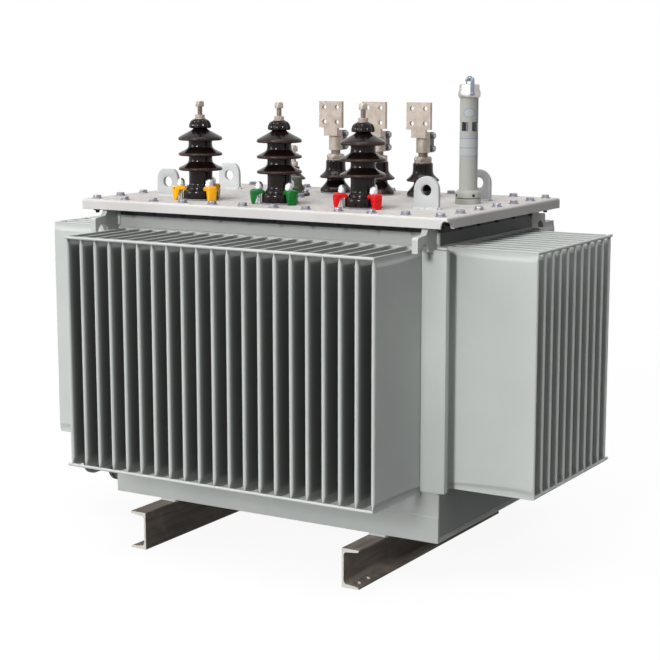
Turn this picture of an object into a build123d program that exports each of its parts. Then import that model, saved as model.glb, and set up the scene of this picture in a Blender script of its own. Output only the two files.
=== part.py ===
"""Oil-filled distribution transformer in a sealed tank with folded cooling fins.

X runs along the long front, Y from front to back, Z up; the origin is on the floor
under the middle of the tank. All sizes are in millimetres.
"""
import os

from build123d import *

# Cooling walls: sheet folded into flat fins, pinched flat and welded shut at top and bottom.
FIN_PITCH = 45
FIN_THICKNESS = 10
FIN_SEAM = 3
FIN_PINCH = 32
FIN_HEIGHT = 604
LONG_WALL_FIN_COUNT = 21
END_WALL_FIN_COUNT = 11
LONG_FIN_DEPTH = 242
END_FIN_DEPTH = 238
FIN_MARGIN = 41
WALL_SHEET = 4
SHEET_BELOW_FIN = 2
SHEET_ABOVE_FIN = 2
SHEET_LAP = 20
CORNER_OVERHANG = 20
CORNER_FOOT_NOTCH = 8
BAR_DIAMETER = 8
BAR_FLUSH_END = 1
LONG_BAR_OVERHANG = 15
END_BAR_OVERHANG = 25

# Skids: two hot-rolled channels, back to back, with tapered flanges.
CHANNEL_HEIGHT = 100
CHANNEL_FLANGE = 48
CHANNEL_WEB = 5.3
CHANNEL_FLANGE_MEAN = 8.5
CHANNEL_TAPER = 0.1
CHANNEL_ROOT_RADIUS = 8.5
CHANNEL_TOE_RADIUS = 4
CHANNEL_LENGTH = 800
CHANNEL_BACKS = 602
HOLE_FROM_BACK = 29
HOLE_RADIUS = 9
HOLE_FROM_END = 28
HOLE_STEP = 45
SKID_PAD = 5

# Tank base, top band, rim and cover.
BASE_PLATE = 6
BASE_HEIGHT = 145
BASE_LIP = 6
BASE_JOGGLE = 2
BASE_JOGGLE_HEIGHT = 64
BASE_JOGGLE_RUN = 4
BAND_PLATE = 8
BAND_HEIGHT = 75
RIM_THICKNESS = 10
RIM_CLEARANCE = 7
GASKET_THICKNESS = 4
GASKET_WIDTH = 20
GASKET_INSET = 25
COVER_PLATE = 8
COVER_SKIRT = 27
COVER_BEND = 14
COVER_END_OVERHANG = 54
COVER_SIDE_OVERHANG = 65
COVER_ARCH_WIDTH = 38
COVER_ARCH_HEIGHT = 22
COVER_ARCH_SHIFT = 3

# Lifting hooks on the band and lifting lugs on the cover.
HOOK_THICKNESS = 16
HOOK_FROM_END = 11
HOOK_REACH = 101
HOOK_SHOULDER = 50
HOOK_STEP = 8
HOOK_STEP_DOWN = 14
HOOK_TIP_DOWN = 17.5
HOOK_STEP_ROUND = 8
HOOK_TIP_ROUND = 7
HOOK_NOSE = 12
HOOK_NOSE_DROP = 55
HOOK_CUT_RADIUS = 20.5
HOOK_HEEL = 30
HOOK_HEEL_DROP = 5
HOOK_RIM_GAP = 7
HOOK_SHEET_GAP = 3
LUG_WIDTH = 69
LUG_THICKNESS = 11
LUG_HOLE = 28
LUG_FROM_END = 150
LUG_FROM_SIDE = 185
ROUND_LUG_HEIGHT = 81.5
CUT_LUG_HEIGHT = 71
CUT_LUG_CORNER = 20
CUT_LUG_HOLE_RISE = 39

# High-voltage bushings: a row of three along the front of the cover.
BUSHING_GASKET = 4
HV_PITCH = 247
HV_ROW_SHIFT = -6
HV_FROM_SIDE = 136
HV_GASKET_LIP = 2
HV_FOOT_RADIUS = 46
HV_FOOT_HEIGHT = 21
HV_FOOT_BEVEL = 1
HV_FOOT_ROUND = 3
HV_COLLAR_RADIUS = 36
HV_COLLAR_HEIGHT = 6
HV_COLLAR_TAPER = 7
HV_CORE_RADIUS = 31
HV_SHED_RADIUS = 57
HV_LOW_SHED_HEIGHT = 82.5
HV_SHED_STEP = 38
HV_SHED_COUNT = 3
HV_SHED_RIM = 6
HV_SHED_RISE = 15
HV_NECK_RADIUS = 17
HV_CROWN_RISE = 26
HV_CAP_RADIUS = 28.5
HV_CAP_HEIGHT = 24.5
HV_CAP_FLUTES = 8
HV_CAP_FLUTE_RADIUS = 7
HV_CAP_CHAMFER = 5
HV_STUD_RADIUS = 6.8
HV_STUD_LENGTH = 45
HV_LOCK_NUT = 26
HV_LOCK_NUT_HEIGHT = 10
HV_TOP_NUT = 23
HV_TOP_NUT_HEIGHT = 14

# Claws that press each high-voltage bushing onto the cover.
CLAW_COUNT = 3
CLAW_FIRST_ANGLE = 90
CLAW_WIDTH = 22
CLAW_HEIGHT = 37
CLAW_OUTER = 75
CLAW_EDGE = 5
CLAW_KNEE = 22
CLAW_LEG = 19
CLAW_TOE = 4.5
CLAW_TOE_INSET = 6
CLAW_HOLLOW = 2
CLAW_TIP = 9
CLAW_TIP_HEIGHT = 8
CLAW_STUD_CIRCLE = 52
CLAW_CREST = 8
CLAW_STUD_HOLE = 11
CLAW_CLEARANCE = 1

# Low-voltage bushings: three phases and a smaller neutral in the back row.
LV_PITCH = 136.5
LV_ROW_SHIFT = 6.75
LV_FROM_SIDE = 152
LV_STUD_CLEARANCE = 0.1
FLAG_SLEEVE_WALL = 4.5
FLAG_SLEEVE_HEIGHT = 54
FLAG_SLEEVE_ABOVE_NUT = 11
FLAG_THICKNESS = 10
FLAG_TONGUE_WIDTH = 43
FLAG_TONGUE_OVERLAP = 14
FLAG_TONGUE_HEIGHT = 22
FLAG_PAD = 72
FLAG_HOLE_RADIUS = 6.4
FLAG_HOLE_SPACING = 40
FLAG_EAR_REACH = 38
FLAG_EAR_WIDTH = 26
FLAG_EAR_ANGLE = 90
FLAG_SLIT = 4

# Oil gauge and relief tube near the right-hand end of the cover.
GAUGE_FROM_END = 135
GAUGE_FROM_MIDDLE = 52
GAUGE_RING_RADIUS = 33
GAUGE_RING_HEIGHT = 14
GAUGE_SEAL = 1
GAUGE_UPPER_RING_HEIGHT = 20
GAUGE_RING_CHAMFER = 6
GAUGE_TUBE_RADIUS = 23.5
GAUGE_TUBE_LENGTH = 235
GAUGE_WINDOW_WIDTH = 14
GAUGE_WINDOW_HEIGHT = 23
GAUGE_WINDOW_RISE = 150
GAUGE_WINDOW_DEPTH = 2
GAUGE_WINDOW_COUNT = 5
GAUGE_FIRST_WINDOW = -88
GAUGE_CAP_RADIUS = 27.5
GAUGE_CAP_HEIGHT = 32
GAUGE_CAP_ROUND = 6
GAUGE_LEVER_LENGTH = 40
GAUGE_LEVER_WIDTH = 10
GAUGE_LEVER_HEIGHT = 22
GAUGE_LEVER_PLATE = 5

# Tap changer between the rows, and the drain valve low on the left-hand end.
TAP_X = -112
TAP_Y = 36
TAP_FLANGE_RADIUS = 46
TAP_FLANGE_HEIGHT = 8
TAP_CAP_RADIUS = 24
TAP_CAP_HEIGHT = 44
TAP_CAP_CHAMFER = 4
VALVE_FROM_SIDE = 66
VALVE_RISE = 55
VALVE_PIPE_RADIUS = 17
VALVE_PIPE_LENGTH = 31
VALVE_FLANGE_RADIUS = 44
VALVE_FLANGE = 11
VALVE_FLANGE_JOINT = 5
VALVE_JOINT_INSET = 15
VALVE_BODY_RADIUS = 26
VALVE_BODY_LENGTH = 82
VALVE_OUTLET_RADIUS = 37
VALVE_OUTLET_TAPER = 28
VALVE_OUTLET = 12
VALVE_BONNET_RADIUS = 15
VALVE_BONNET_RISE = 38
VALVE_STEM_RADIUS = 5
VALVE_STEM_LENGTH = 18
WHEEL_RADIUS = 36
WHEEL_RIM_RADIUS = 5
WHEEL_SPOKE_WIDTH = 9
WHEEL_HUB_RADIUS = 10

# Places that follow from the sizes above.
TANK_LENGTH = (LONG_WALL_FIN_COUNT - 1) * FIN_PITCH + 2 * FIN_MARGIN
TANK_WIDTH = (END_WALL_FIN_COUNT - 1) * FIN_PITCH + 2 * FIN_MARGIN
BASE_LENGTH = TANK_LENGTH + 2 * BASE_LIP
COVER_LENGTH = TANK_LENGTH + 2 * COVER_END_OVERHANG
COVER_WIDTH = TANK_WIDTH + 2 * COVER_SIDE_OVERHANG
RIM_LENGTH = COVER_LENGTH - 2 * (COVER_PLATE + RIM_CLEARANCE)
RIM_WIDTH = COVER_WIDTH - 2 * (COVER_PLATE + RIM_CLEARANCE)
BASE_BOTTOM = CHANNEL_HEIGHT + SKID_PAD
BASE_TOP = BASE_BOTTOM + BASE_HEIGHT
SHEET_BOTTOM = BASE_TOP - SHEET_LAP
FIN_BOTTOM = SHEET_BOTTOM + SHEET_BELOW_FIN
FIN_TOP = FIN_BOTTOM + FIN_HEIGHT
SHEET_TOP = FIN_TOP + SHEET_ABOVE_FIN
BAND_BOTTOM = SHEET_TOP - SHEET_LAP
BAND_TOP = BAND_BOTTOM + BAND_HEIGHT
RIM_TOP = BAND_TOP + RIM_THICKNESS
COVER_UNDER = RIM_TOP + GASKET_THICKNESS
COVER_TOP = COVER_UNDER + COVER_PLATE
HV_ROW = HV_FROM_SIDE - COVER_WIDTH / 2
LV_ROW = COVER_WIDTH / 2 - LV_FROM_SIDE
HV_SHOULDER = BUSHING_GASKET + HV_FOOT_HEIGHT
HV_LAST_SHED = HV_LOW_SHED_HEIGHT + (HV_SHED_COUNT - 1) * HV_SHED_STEP
HV_CAP_BOTTOM = HV_LAST_SHED + HV_CROWN_RISE
GAUGE_BASE_TOP = GAUGE_RING_HEIGHT + GAUGE_SEAL + GAUGE_UPPER_RING_HEIGHT
HV_CAP_TOP = HV_CAP_BOTTOM + HV_CAP_HEIGHT


def slab(x_low, x_high, y_low, y_high, z_low, z_high):
    """A flat plate or bar given by its six faces."""
    middle = Pos((x_low + x_high) / 2, (y_low + y_high) / 2, (z_low + z_high) / 2)
    return middle * Box(x_high - x_low, y_high - y_low, z_high - z_low)


def turned(*profile):
    """A round piece: radius and height pairs swept about the upright axis."""
    return revolve(Plane.XZ * make_face(Polyline(*profile, close=True)), Axis.Z)


def hexagon(across_corners, z_low, height):
    """A plain hexagon nut standing on the upright axis."""
    return extrude(Pos(0, 0, z_low) * RegularPolygon(across_corners / 2, 6), height)


def front_and_back(piece):
    """A piece of the front with its twin at the back."""
    return [piece, mirror(piece, Plane.XZ)]


def both_ends(piece):
    """A piece of the right-hand end with its twin at the left."""
    return [piece, mirror(piece, Plane.YZ)]


def group(*pieces):
    """Like pieces that share one node without touching."""
    return Compound(children=list(pieces))


def on_cover(x, y, piece):
    """A fitting moved to its place on top of the cover."""
    return Pos(x, y, COVER_TOP) * piece


def skid_channel():
    """The right-hand skid: its back towards the middle, its flanges outwards."""
    root = CHANNEL_FLANGE_MEAN + CHANNEL_TAPER * (CHANNEL_FLANGE / 2 - CHANNEL_WEB)
    toe = CHANNEL_FLANGE_MEAN - CHANNEL_TAPER * CHANNEL_FLANGE / 2
    section = make_face(Polyline(
        (0, 0), (CHANNEL_FLANGE, 0), (CHANNEL_FLANGE, toe), (CHANNEL_WEB, root),
        (CHANNEL_WEB, CHANNEL_HEIGHT - root), (CHANNEL_FLANGE, CHANNEL_HEIGHT - toe),
        (CHANNEL_FLANGE, CHANNEL_HEIGHT), (0, CHANNEL_HEIGHT), close=True))
    roots = section.vertices().group_by(Axis.X)[1]
    section = fillet(roots, CHANNEL_ROOT_RADIUS)
    tips = section.vertices().group_by(Axis.X)[-1].sort_by(Axis.Y)[1:3]
    section = fillet(tips, CHANNEL_TOE_RADIUS)
    bar = extrude(Plane.XZ * section, CHANNEL_LENGTH / 2, both=True)
    first = CHANNEL_LENGTH / 2 - HOLE_FROM_END
    for y in (first, first - HOLE_STEP, HOLE_STEP - first, -first):
        bar -= Pos(HOLE_FROM_BACK, y, 0) * Cylinder(HOLE_RADIUS, CHANNEL_HEIGHT)
    return Pos(CHANNEL_BACKS / 2, 0, 0) * bar


def skid_pad():
    """The packing strip between the right-hand skid and the tank's floor."""
    inner = CHANNEL_BACKS / 2
    return slab(inner, inner + CHANNEL_FLANGE, -TANK_WIDTH / 2, TANK_WIDTH / 2, CHANNEL_HEIGHT, BASE_BOTTOM)


def base_floor():
    """The tank's floor plate, set between the side plates."""
    half = TANK_WIDTH / 2 - BASE_PLATE
    return slab(-BASE_LENGTH / 2, BASE_LENGTH / 2, -half, half, BASE_BOTTOM, BASE_BOTTOM + BASE_PLATE)


def base_side():
    """The front plate of the base: a shallow joggle along it, its lips stopping under the end walls."""
    face = -TANK_WIDTH / 2
    joggle = BASE_BOTTOM + BASE_JOGGLE_HEIGHT
    section = make_face(Polyline(
        (face + BASE_PLATE, BASE_BOTTOM), (face - BASE_JOGGLE, BASE_BOTTOM), (face - BASE_JOGGLE, joggle),
        (face, joggle + BASE_JOGGLE_RUN), (face, BASE_TOP), (face + BASE_PLATE, BASE_TOP), close=True))
    plate = extrude(Plane.YZ * section, BASE_LENGTH / 2, both=True)
    lip_top = slab(TANK_LENGTH / 2, BASE_LENGTH / 2, face, face + BASE_PLATE, SHEET_BOTTOM, BASE_TOP)
    for cut in both_ends(lip_top):
        plate -= cut
    return plate


def base_end():
    """The right-hand end plate, set back behind the lips of floor and sides."""
    half = TANK_WIDTH / 2 - BASE_PLATE
    outer = TANK_LENGTH / 2
    return slab(outer - BASE_PLATE, outer, -half, half, BASE_BOTTOM + BASE_PLATE, BASE_TOP)


def fin(depth):
    """One cooling fin pointing to the front: rounded nose, ends pinched to a welded seam."""
    full = FIN_THICKNESS / 2
    seam = FIN_SEAM / 2
    low, low_pinch = FIN_BOTTOM, FIN_BOTTOM + FIN_PINCH
    high, high_pinch = FIN_TOP, FIN_TOP - FIN_PINCH
    pinched = make_face(Polyline(
        (seam, low), (full, low_pinch), (full, high_pinch), (seam, high),
        (-seam, high), (-full, high_pinch), (-full, low_pinch), (-seam, low), close=True))
    straight = depth - full
    plan = Pos(0, -straight / 2) * Rectangle(FIN_THICKNESS, straight) + Pos(0, -straight) * Circle(full)
    folded = extrude(Plane.XZ * pinched, depth) & extrude(Pos(0, 0, low) * plan, FIN_HEIGHT)
    corner = Box(FIN_THICKNESS, BAR_DIAMETER, BAR_DIAMETER)
    nose = BAR_DIAMETER / 2 - depth
    for z in (low + BAR_DIAMETER / 2, high - BAR_DIAMETER / 2):
        folded -= Pos(0, nose, z) * corner
    return folded


def fin_wall(fins, depth, half_width, foot_notch_from):
    """A cooling wall facing the front: its sheet's back is on the Y = 0 plane."""
    wall = slab(-half_width, half_width, -WALL_SHEET, 0, SHEET_BOTTOM, SHEET_TOP)
    if foot_notch_from < half_width:
        notch = slab(foot_notch_from, half_width, -WALL_SHEET, 0, SHEET_BOTTOM, SHEET_BOTTOM + CORNER_FOOT_NOTCH)
        for cut in both_ends(notch):
            wall -= cut
    one = Pos(0, -WALL_SHEET, 0) * fin(depth)
    first = -(fins - 1) / 2 * FIN_PITCH
    return wall.fuse(*[Pos(first + i * FIN_PITCH, 0, 0) * one for i in range(fins)])


def fin_bars(fins, depth, left_overhang, right_overhang):
    """The top and bottom stiffening rods in the notched noses of a wall's fins."""
    length = (fins - 1) * FIN_PITCH + left_overhang + right_overhang
    middle = (right_overhang - left_overhang) / 2
    rod = Pos(middle, 0, 0) * Rot(0, 90, 0) * Cylinder(BAR_DIAMETER / 2, length)
    nose = BAR_DIAMETER / 2 - WALL_SHEET - depth
    heights = (FIN_BOTTOM + BAR_DIAMETER / 2, FIN_TOP - BAR_DIAMETER / 2)
    return [Pos(0, nose, z) * rod for z in heights]


def at_front(piece):
    """A wall piece moved from its own plane to the front of the tank."""
    return Pos(0, -TANK_WIDTH / 2, 0) * piece


def at_right(piece):
    """A wall piece turned to face right and moved to the tank's end."""
    return Pos(TANK_LENGTH / 2, 0, 0) * Rot(0, 0, 90) * piece


def band_side():
    """The front strip of the band between the fins and the rim."""
    face = -TANK_WIDTH / 2
    return slab(-TANK_LENGTH / 2, TANK_LENGTH / 2, face, face + BAND_PLATE, BAND_BOTTOM, BAND_TOP)


def band_end():
    """The right-hand strip of the band, between the long strips."""
    half = TANK_WIDTH / 2 - BAND_PLATE
    outer = TANK_LENGTH / 2
    return slab(outer - BAND_PLATE, outer, -half, half, BAND_BOTTOM, BAND_TOP)


def rim_side():
    """The front bar of the rim flange that the cover is bolted to."""
    inner = BAND_PLATE - TANK_WIDTH / 2
    return slab(-RIM_LENGTH / 2, RIM_LENGTH / 2, -RIM_WIDTH / 2, inner, BAND_TOP, RIM_TOP)


def rim_end():
    """The right-hand bar of the rim flange, between the long bars."""
    half = TANK_WIDTH / 2 - BAND_PLATE
    return slab(TANK_LENGTH / 2 - BAND_PLATE, RIM_LENGTH / 2, -half, half, BAND_TOP, RIM_TOP)


def cover_gasket():
    """The flat rubber frame between rim and cover, inside the row of bolts."""
    length = RIM_LENGTH - 2 * GASKET_INSET
    width = RIM_WIDTH - 2 * GASKET_INSET
    frame = Rectangle(length, width) - Rectangle(length - 2 * GASKET_WIDTH, width - 2 * GASKET_WIDTH)
    return extrude(Pos(0, 0, RIM_TOP) * frame, GASKET_THICKNESS)


def cover():
    """The cover plate: four edges bent down, an arch cut through the skirt's front right-hand corner."""
    half_x, half_y = COVER_LENGTH / 2, COVER_WIDTH / 2
    skirt = COVER_TOP - COVER_SKIRT
    outer = slab(-half_x, half_x, -half_y, half_y, skirt, COVER_TOP)
    outer = fillet(outer.faces().sort_by(Axis.Z)[-1].edges(), COVER_BEND)
    in_x, in_y = half_x - COVER_PLATE, half_y - COVER_PLATE
    inner = slab(-in_x, in_x, -in_y, in_y, skirt, COVER_UNDER)
    inner = fillet(inner.faces().sort_by(Axis.Z)[-1].edges(), COVER_BEND - COVER_PLATE)
    diagonal = Plane(origin=(half_x, -half_y, skirt), x_dir=(1, 1, 0), z_dir=(1, -1, 0))
    arch = diagonal * Pos(COVER_ARCH_SHIFT, 0) * Ellipse(COVER_ARCH_WIDTH / 2, COVER_ARCH_HEIGHT)
    return outer - inner - extrude(arch, COVER_ARCH_WIDTH, both=True)


def lifting_hook():
    """The front right-hand hook: an upright plate with a nose turned down round a sling gap."""
    top = BAND_TOP - HOOK_RIM_GAP
    foot = SHEET_TOP + HOOK_SHEET_GAP
    nose_foot = top - HOOK_NOSE_DROP
    face = -TANK_WIDTH / 2
    step = (face - HOOK_SHOULDER - HOOK_STEP, top - HOOK_STEP_DOWN)
    tip = (face - HOOK_REACH, top - HOOK_TIP_DOWN)
    gap_middle = face - HOOK_REACH + HOOK_NOSE + HOOK_CUT_RADIUS
    outline = make_face(Polyline(
        (face, foot), (face, top), (face - HOOK_SHOULDER, top), step, tip, (face - HOOK_REACH, nose_foot),
        (gap_middle + HOOK_CUT_RADIUS, nose_foot), (face - HOOK_HEEL, nose_foot - HOOK_HEEL_DROP), close=True))
    for corner, radius in ((step, HOOK_STEP_ROUND), (tip, HOOK_TIP_ROUND)):
        outline = fillet(outline.vertices().sort_by_distance(corner)[0], radius)
    gap_centre = Pos(gap_middle, nose_foot)
    plate = extrude(Plane.YZ * (outline - gap_centre * Circle(HOOK_CUT_RADIUS)), HOOK_THICKNESS / 2, both=True)
    return Pos(TANK_LENGTH / 2 - HOOK_FROM_END, 0, 0) * plate


def cover_lug(outline, hole_rise):
    """A front right-hand lug: an upright plate of the given outline with one hole."""
    outline -= Pos(0, hole_rise) * Circle(LUG_HOLE / 2)
    plate = extrude(Plane.XZ * outline, LUG_THICKNESS / 2, both=True)
    return on_cover(COVER_LENGTH / 2 - LUG_FROM_END, LUG_FROM_SIDE - COVER_WIDTH / 2, plate)


def round_lug():
    """The right-hand lugs' plate: a round head about its hole."""
    radius = LUG_WIDTH / 2
    centre = ROUND_LUG_HEIGHT - radius
    outline = Pos(0, centre / 2) * Rectangle(LUG_WIDTH, centre) + Pos(0, centre) * Circle(radius)
    return cover_lug(outline, centre)


def cut_lug():
    """The left-hand lugs' plate: a lower head with its corners cut off straight."""
    half, corner = LUG_WIDTH / 2, CUT_LUG_CORNER
    side = CUT_LUG_HEIGHT - corner
    outline = make_face(Polyline((half, 0), (half, side), (half - corner, CUT_LUG_HEIGHT),
                                 (corner - half, CUT_LUG_HEIGHT), (-half, side), (-half, 0), close=True))
    return mirror(cover_lug(outline, CUT_LUG_HOLE_RISE), Plane.YZ)


def hv_places():
    """Left, middle and right places of the high-voltage row."""
    return [(HV_ROW_SHIFT + side * HV_PITCH, HV_ROW) for side in (-1, 0, 1)]


def lv_places():
    """Neutral and three phase places of the low-voltage row."""
    return [(LV_ROW_SHIFT + (i - 1.5) * LV_PITCH, LV_ROW) for i in range(4)]


def shed(height):
    """The drooping rim of one porcelain shed, as radius and height pairs."""
    half = HV_SHED_RIM / 2
    return [(HV_CORE_RADIUS, height), (HV_SHED_RADIUS - half, height - half), (HV_SHED_RADIUS, height),
            (HV_SHED_RADIUS - half, height + half)]


def hv_porcelain():
    """The glazed insulator: clamping foot, collar, core and sheds, closed by a steep crown."""
    collar_top = HV_SHOULDER + HV_COLLAR_HEIGHT
    foot = [(0, BUSHING_GASKET), (HV_FOOT_RADIUS - HV_FOOT_BEVEL, BUSHING_GASKET),
            (HV_FOOT_RADIUS, BUSHING_GASKET + HV_FOOT_BEVEL), (HV_FOOT_RADIUS, HV_SHOULDER - HV_FOOT_ROUND),
            (HV_FOOT_RADIUS - HV_FOOT_ROUND, HV_SHOULDER), (HV_COLLAR_RADIUS, HV_SHOULDER),
            (HV_COLLAR_RADIUS, collar_top), (HV_CORE_RADIUS, collar_top + HV_COLLAR_TAPER)]
    body = []
    for i in range(HV_SHED_COUNT):
        height = HV_LOW_SHED_HEIGHT + i * HV_SHED_STEP
        body += shed(height)
        if i < HV_SHED_COUNT - 1:
            body += [(HV_CORE_RADIUS, height + HV_SHED_RISE)]
    crown = [(HV_NECK_RADIUS, HV_CAP_BOTTOM), (0, HV_CAP_BOTTOM)]
    return turned(*foot, *body, *crown)


def hv_cap():
    """The fluted ceramic cap that closes the top of the insulator."""
    edge = HV_CAP_CHAMFER
    cap = turned((0, HV_CAP_BOTTOM), (HV_CAP_RADIUS - edge, HV_CAP_BOTTOM), (HV_CAP_RADIUS, HV_CAP_BOTTOM + edge),
                 (HV_CAP_RADIUS, HV_CAP_TOP - 2 * edge), (HV_CAP_RADIUS - 2 * edge, HV_CAP_TOP), (0, HV_CAP_TOP))
    flute = Pos(HV_CAP_RADIUS + HV_CAP_FLUTE_RADIUS / 2, 0, HV_CAP_BOTTOM + HV_CAP_HEIGHT / 2)
    flute *= Cylinder(HV_CAP_FLUTE_RADIUS, 2 * HV_CAP_HEIGHT)
    for i in range(HV_CAP_FLUTES):
        cap -= Rot(0, 0, i * 360 / HV_CAP_FLUTES) * flute
    return cap


def hv_stud():
    """The terminal stud with its lock nut below and its clamping nut at the top."""
    stud = Pos(0, 0, HV_CAP_TOP + HV_STUD_LENGTH / 2) * Cylinder(HV_STUD_RADIUS, HV_STUD_LENGTH)
    lock_nut = hexagon(HV_LOCK_NUT, HV_CAP_TOP, HV_LOCK_NUT_HEIGHT)
    top_nut = hexagon(HV_TOP_NUT, HV_CAP_TOP + HV_STUD_LENGTH - HV_TOP_NUT_HEIGHT, HV_TOP_NUT_HEIGHT)
    return stud + lock_nut + top_nut


def claw():
    """One clamping claw along +X: leg on the cover, tip on the insulator's foot, stud between."""
    tip = HV_COLLAR_RADIUS + CLAW_CLEARANCE
    hollow = HV_SHOULDER + CLAW_HOLLOW
    knee = CLAW_OUTER - CLAW_LEG
    toe = CLAW_OUTER - CLAW_TOE_INSET
    outline = make_face(Polyline(
        (tip, HV_SHOULDER), (tip + CLAW_TIP, HV_SHOULDER), (tip + CLAW_TIP + CLAW_HOLLOW, hollow), (knee, hollow),
        (knee, CLAW_KNEE), (toe - CLAW_TOE, 0), (toe, 0), (CLAW_OUTER, CLAW_KNEE),
        (CLAW_OUTER, CLAW_HEIGHT - CLAW_EDGE), (CLAW_OUTER - CLAW_EDGE, CLAW_HEIGHT),
        (CLAW_STUD_CIRCLE - CLAW_CREST, CLAW_HEIGHT), (tip, HV_SHOULDER + CLAW_TIP_HEIGHT), close=True))
    arm = extrude(Plane.XZ * outline, CLAW_WIDTH / 2, both=True)
    return arm - Pos(CLAW_STUD_CIRCLE, 0, CLAW_HEIGHT) * Cylinder(CLAW_STUD_HOLE / 2, 2 * CLAW_HEIGHT)


def claws(x, y):
    """The claws round one high-voltage bushing."""
    turn = 360 / CLAW_COUNT
    return group(*[on_cover(x, y, Rot(0, 0, CLAW_FIRST_ANGLE + i * turn) * claw()) for i in range(CLAW_COUNT)])


class LvSize:
    """The sizes of one low-voltage bushing and its stud."""

    def __init__(self, foot, foot_height, neck, shed_height, shed, body, height, stud, nut, nut_height, stud_above):
        self.foot = foot
        self.foot_height = foot_height
        self.neck = neck
        self.shed_height = shed_height
        self.shed = shed
        self.body = body
        self.height = height
        self.stud = stud
        self.nut = nut
        self.nut_height = nut_height
        self.stud_above = stud_above


PHASE = LvSize(foot=42, foot_height=10, neck=24, shed_height=46, shed=43, body=27, height=90,
               stud=13.9, nut=52, nut_height=17, stud_above=78)
NEUTRAL = LvSize(foot=30, foot_height=8, neck=15, shed_height=36, shed=31.5, body=15.5, height=68,
                 stud=6, nut=22, nut_height=15, stud_above=54)


def lv_porcelain(size):
    """A short insulator: flared foot, waist, one drooping shed and a round top."""
    rim = size.shed / 14
    foot_top = BUSHING_GASKET + size.foot_height
    return turned(
        (0, BUSHING_GASKET), (size.foot, BUSHING_GASKET), (size.foot, foot_top),
        (size.foot - rim, foot_top + rim), (size.neck, size.shed_height - 3 * rim), (size.neck, size.shed_height),
        (size.shed - rim, size.shed_height - rim), (size.shed, size.shed_height),
        (size.shed - rim, size.shed_height + rim), (size.body, size.shed_height + size.shed - size.body),
        (size.body, size.height - rim), (size.body - rim, size.height), (0, size.height))


def lv_stud(size):
    """The stud of a low-voltage bushing with the nut that seats on the porcelain."""
    stud = Pos(0, 0, size.height + size.stud_above / 2) * Cylinder(size.stud, size.stud_above)
    return stud + hexagon(size.nut, size.height, size.nut_height)


def neutral_stud():
    """The neutral's stud, which carries a second nut at its top."""
    top = NEUTRAL.height + NEUTRAL.stud_above
    return lv_stud(NEUTRAL) + hexagon(NEUTRAL.nut, top - NEUTRAL.nut_height, NEUTRAL.nut_height)


def lv_flag():
    """The flag terminal: split sleeve with clamping ears, tongue and four-hole pad facing the front."""
    bore = PHASE.stud + LV_STUD_CLEARANCE
    sleeve = bore + FLAG_SLEEVE_WALL
    bottom = PHASE.height + PHASE.nut_height + FLAG_SLEEVE_ABOVE_NUT
    top = bottom + FLAG_SLEEVE_HEIGHT
    front = -sleeve - FLAG_THICKNESS
    tongue_low = top - FLAG_TONGUE_OVERLAP
    pad_low = tongue_low + FLAG_TONGUE_HEIGHT
    body = Pos(0, 0, (bottom + top) / 2) * Cylinder(sleeve, FLAG_SLEEVE_HEIGHT)
    ears = slab(0, FLAG_EAR_REACH, -FLAG_EAR_WIDTH / 2, FLAG_EAR_WIDTH / 2, bottom, top)
    slit = slab(0, FLAG_EAR_REACH, -FLAG_SLIT / 2, FLAG_SLIT / 2, bottom, top)
    half_tongue = FLAG_TONGUE_WIDTH / 2
    boss = slab(-sleeve, sleeve, front, 0, tongue_low, top)
    tongue = slab(-half_tongue, half_tongue, front, -sleeve, tongue_low, pad_low)
    pad = slab(-FLAG_PAD / 2, FLAG_PAD / 2, front, -sleeve, pad_low, pad_low + FLAG_PAD)
    step = FLAG_HOLE_SPACING
    for place in GridLocations(step, step, 2, 2):
        across, up = place.position.X, place.position.Y
        hole = Rot(90, 0, 0) * Cylinder(FLAG_HOLE_RADIUS, 4 * FLAG_THICKNESS)
        pad -= Pos(across, front, pad_low + FLAG_PAD / 2 + up) * hole
    turn = Rot(0, 0, FLAG_EAR_ANGLE)
    whole = body + turn * ears + boss + tongue + pad
    whole -= Pos(0, 0, bottom) * Cylinder(bore, 4 * FLAG_SLEEVE_HEIGHT)
    return whole - turn * slit


def gasket_ring(radius):
    """The grey rubber ring under a bushing."""
    return Pos(0, 0, BUSHING_GASKET / 2) * Cylinder(radius, BUSHING_GASKET)


def gauge_x():
    """How far right of the middle the gauge stands."""
    return COVER_LENGTH / 2 - GAUGE_FROM_END


def gauge_base():
    """Two stacked flange rings with a thin seal between, the upper one chamfered."""
    ring, edge = GAUGE_RING_RADIUS, GAUGE_RING_CHAMFER
    upper = GAUGE_RING_HEIGHT + GAUGE_SEAL
    top = GAUGE_BASE_TOP
    return turned((0, 0), (ring, 0), (ring, GAUGE_RING_HEIGHT), (ring - 1, GAUGE_RING_HEIGHT), (ring - 1, upper),
                  (ring, upper), (ring, top - edge), (ring - edge, top), (0, top))


def gauge_tube():
    """The tube with its ring of small sight windows near the top."""
    bottom = GAUGE_BASE_TOP
    tube = Pos(0, 0, bottom + GAUGE_TUBE_LENGTH / 2) * Cylinder(GAUGE_TUBE_RADIUS, GAUGE_TUBE_LENGTH)
    floor = GAUGE_TUBE_RADIUS - GAUGE_WINDOW_DEPTH
    low = bottom + GAUGE_WINDOW_RISE
    half = GAUGE_WINDOW_WIDTH / 2
    window = slab(floor, GAUGE_TUBE_RADIUS, -half, half, low, low + GAUGE_WINDOW_HEIGHT)
    for i in range(GAUGE_WINDOW_COUNT):
        tube -= Rot(0, 0, GAUGE_FIRST_WINDOW + i * 360 / GAUGE_WINDOW_COUNT) * window
    return tube


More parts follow.
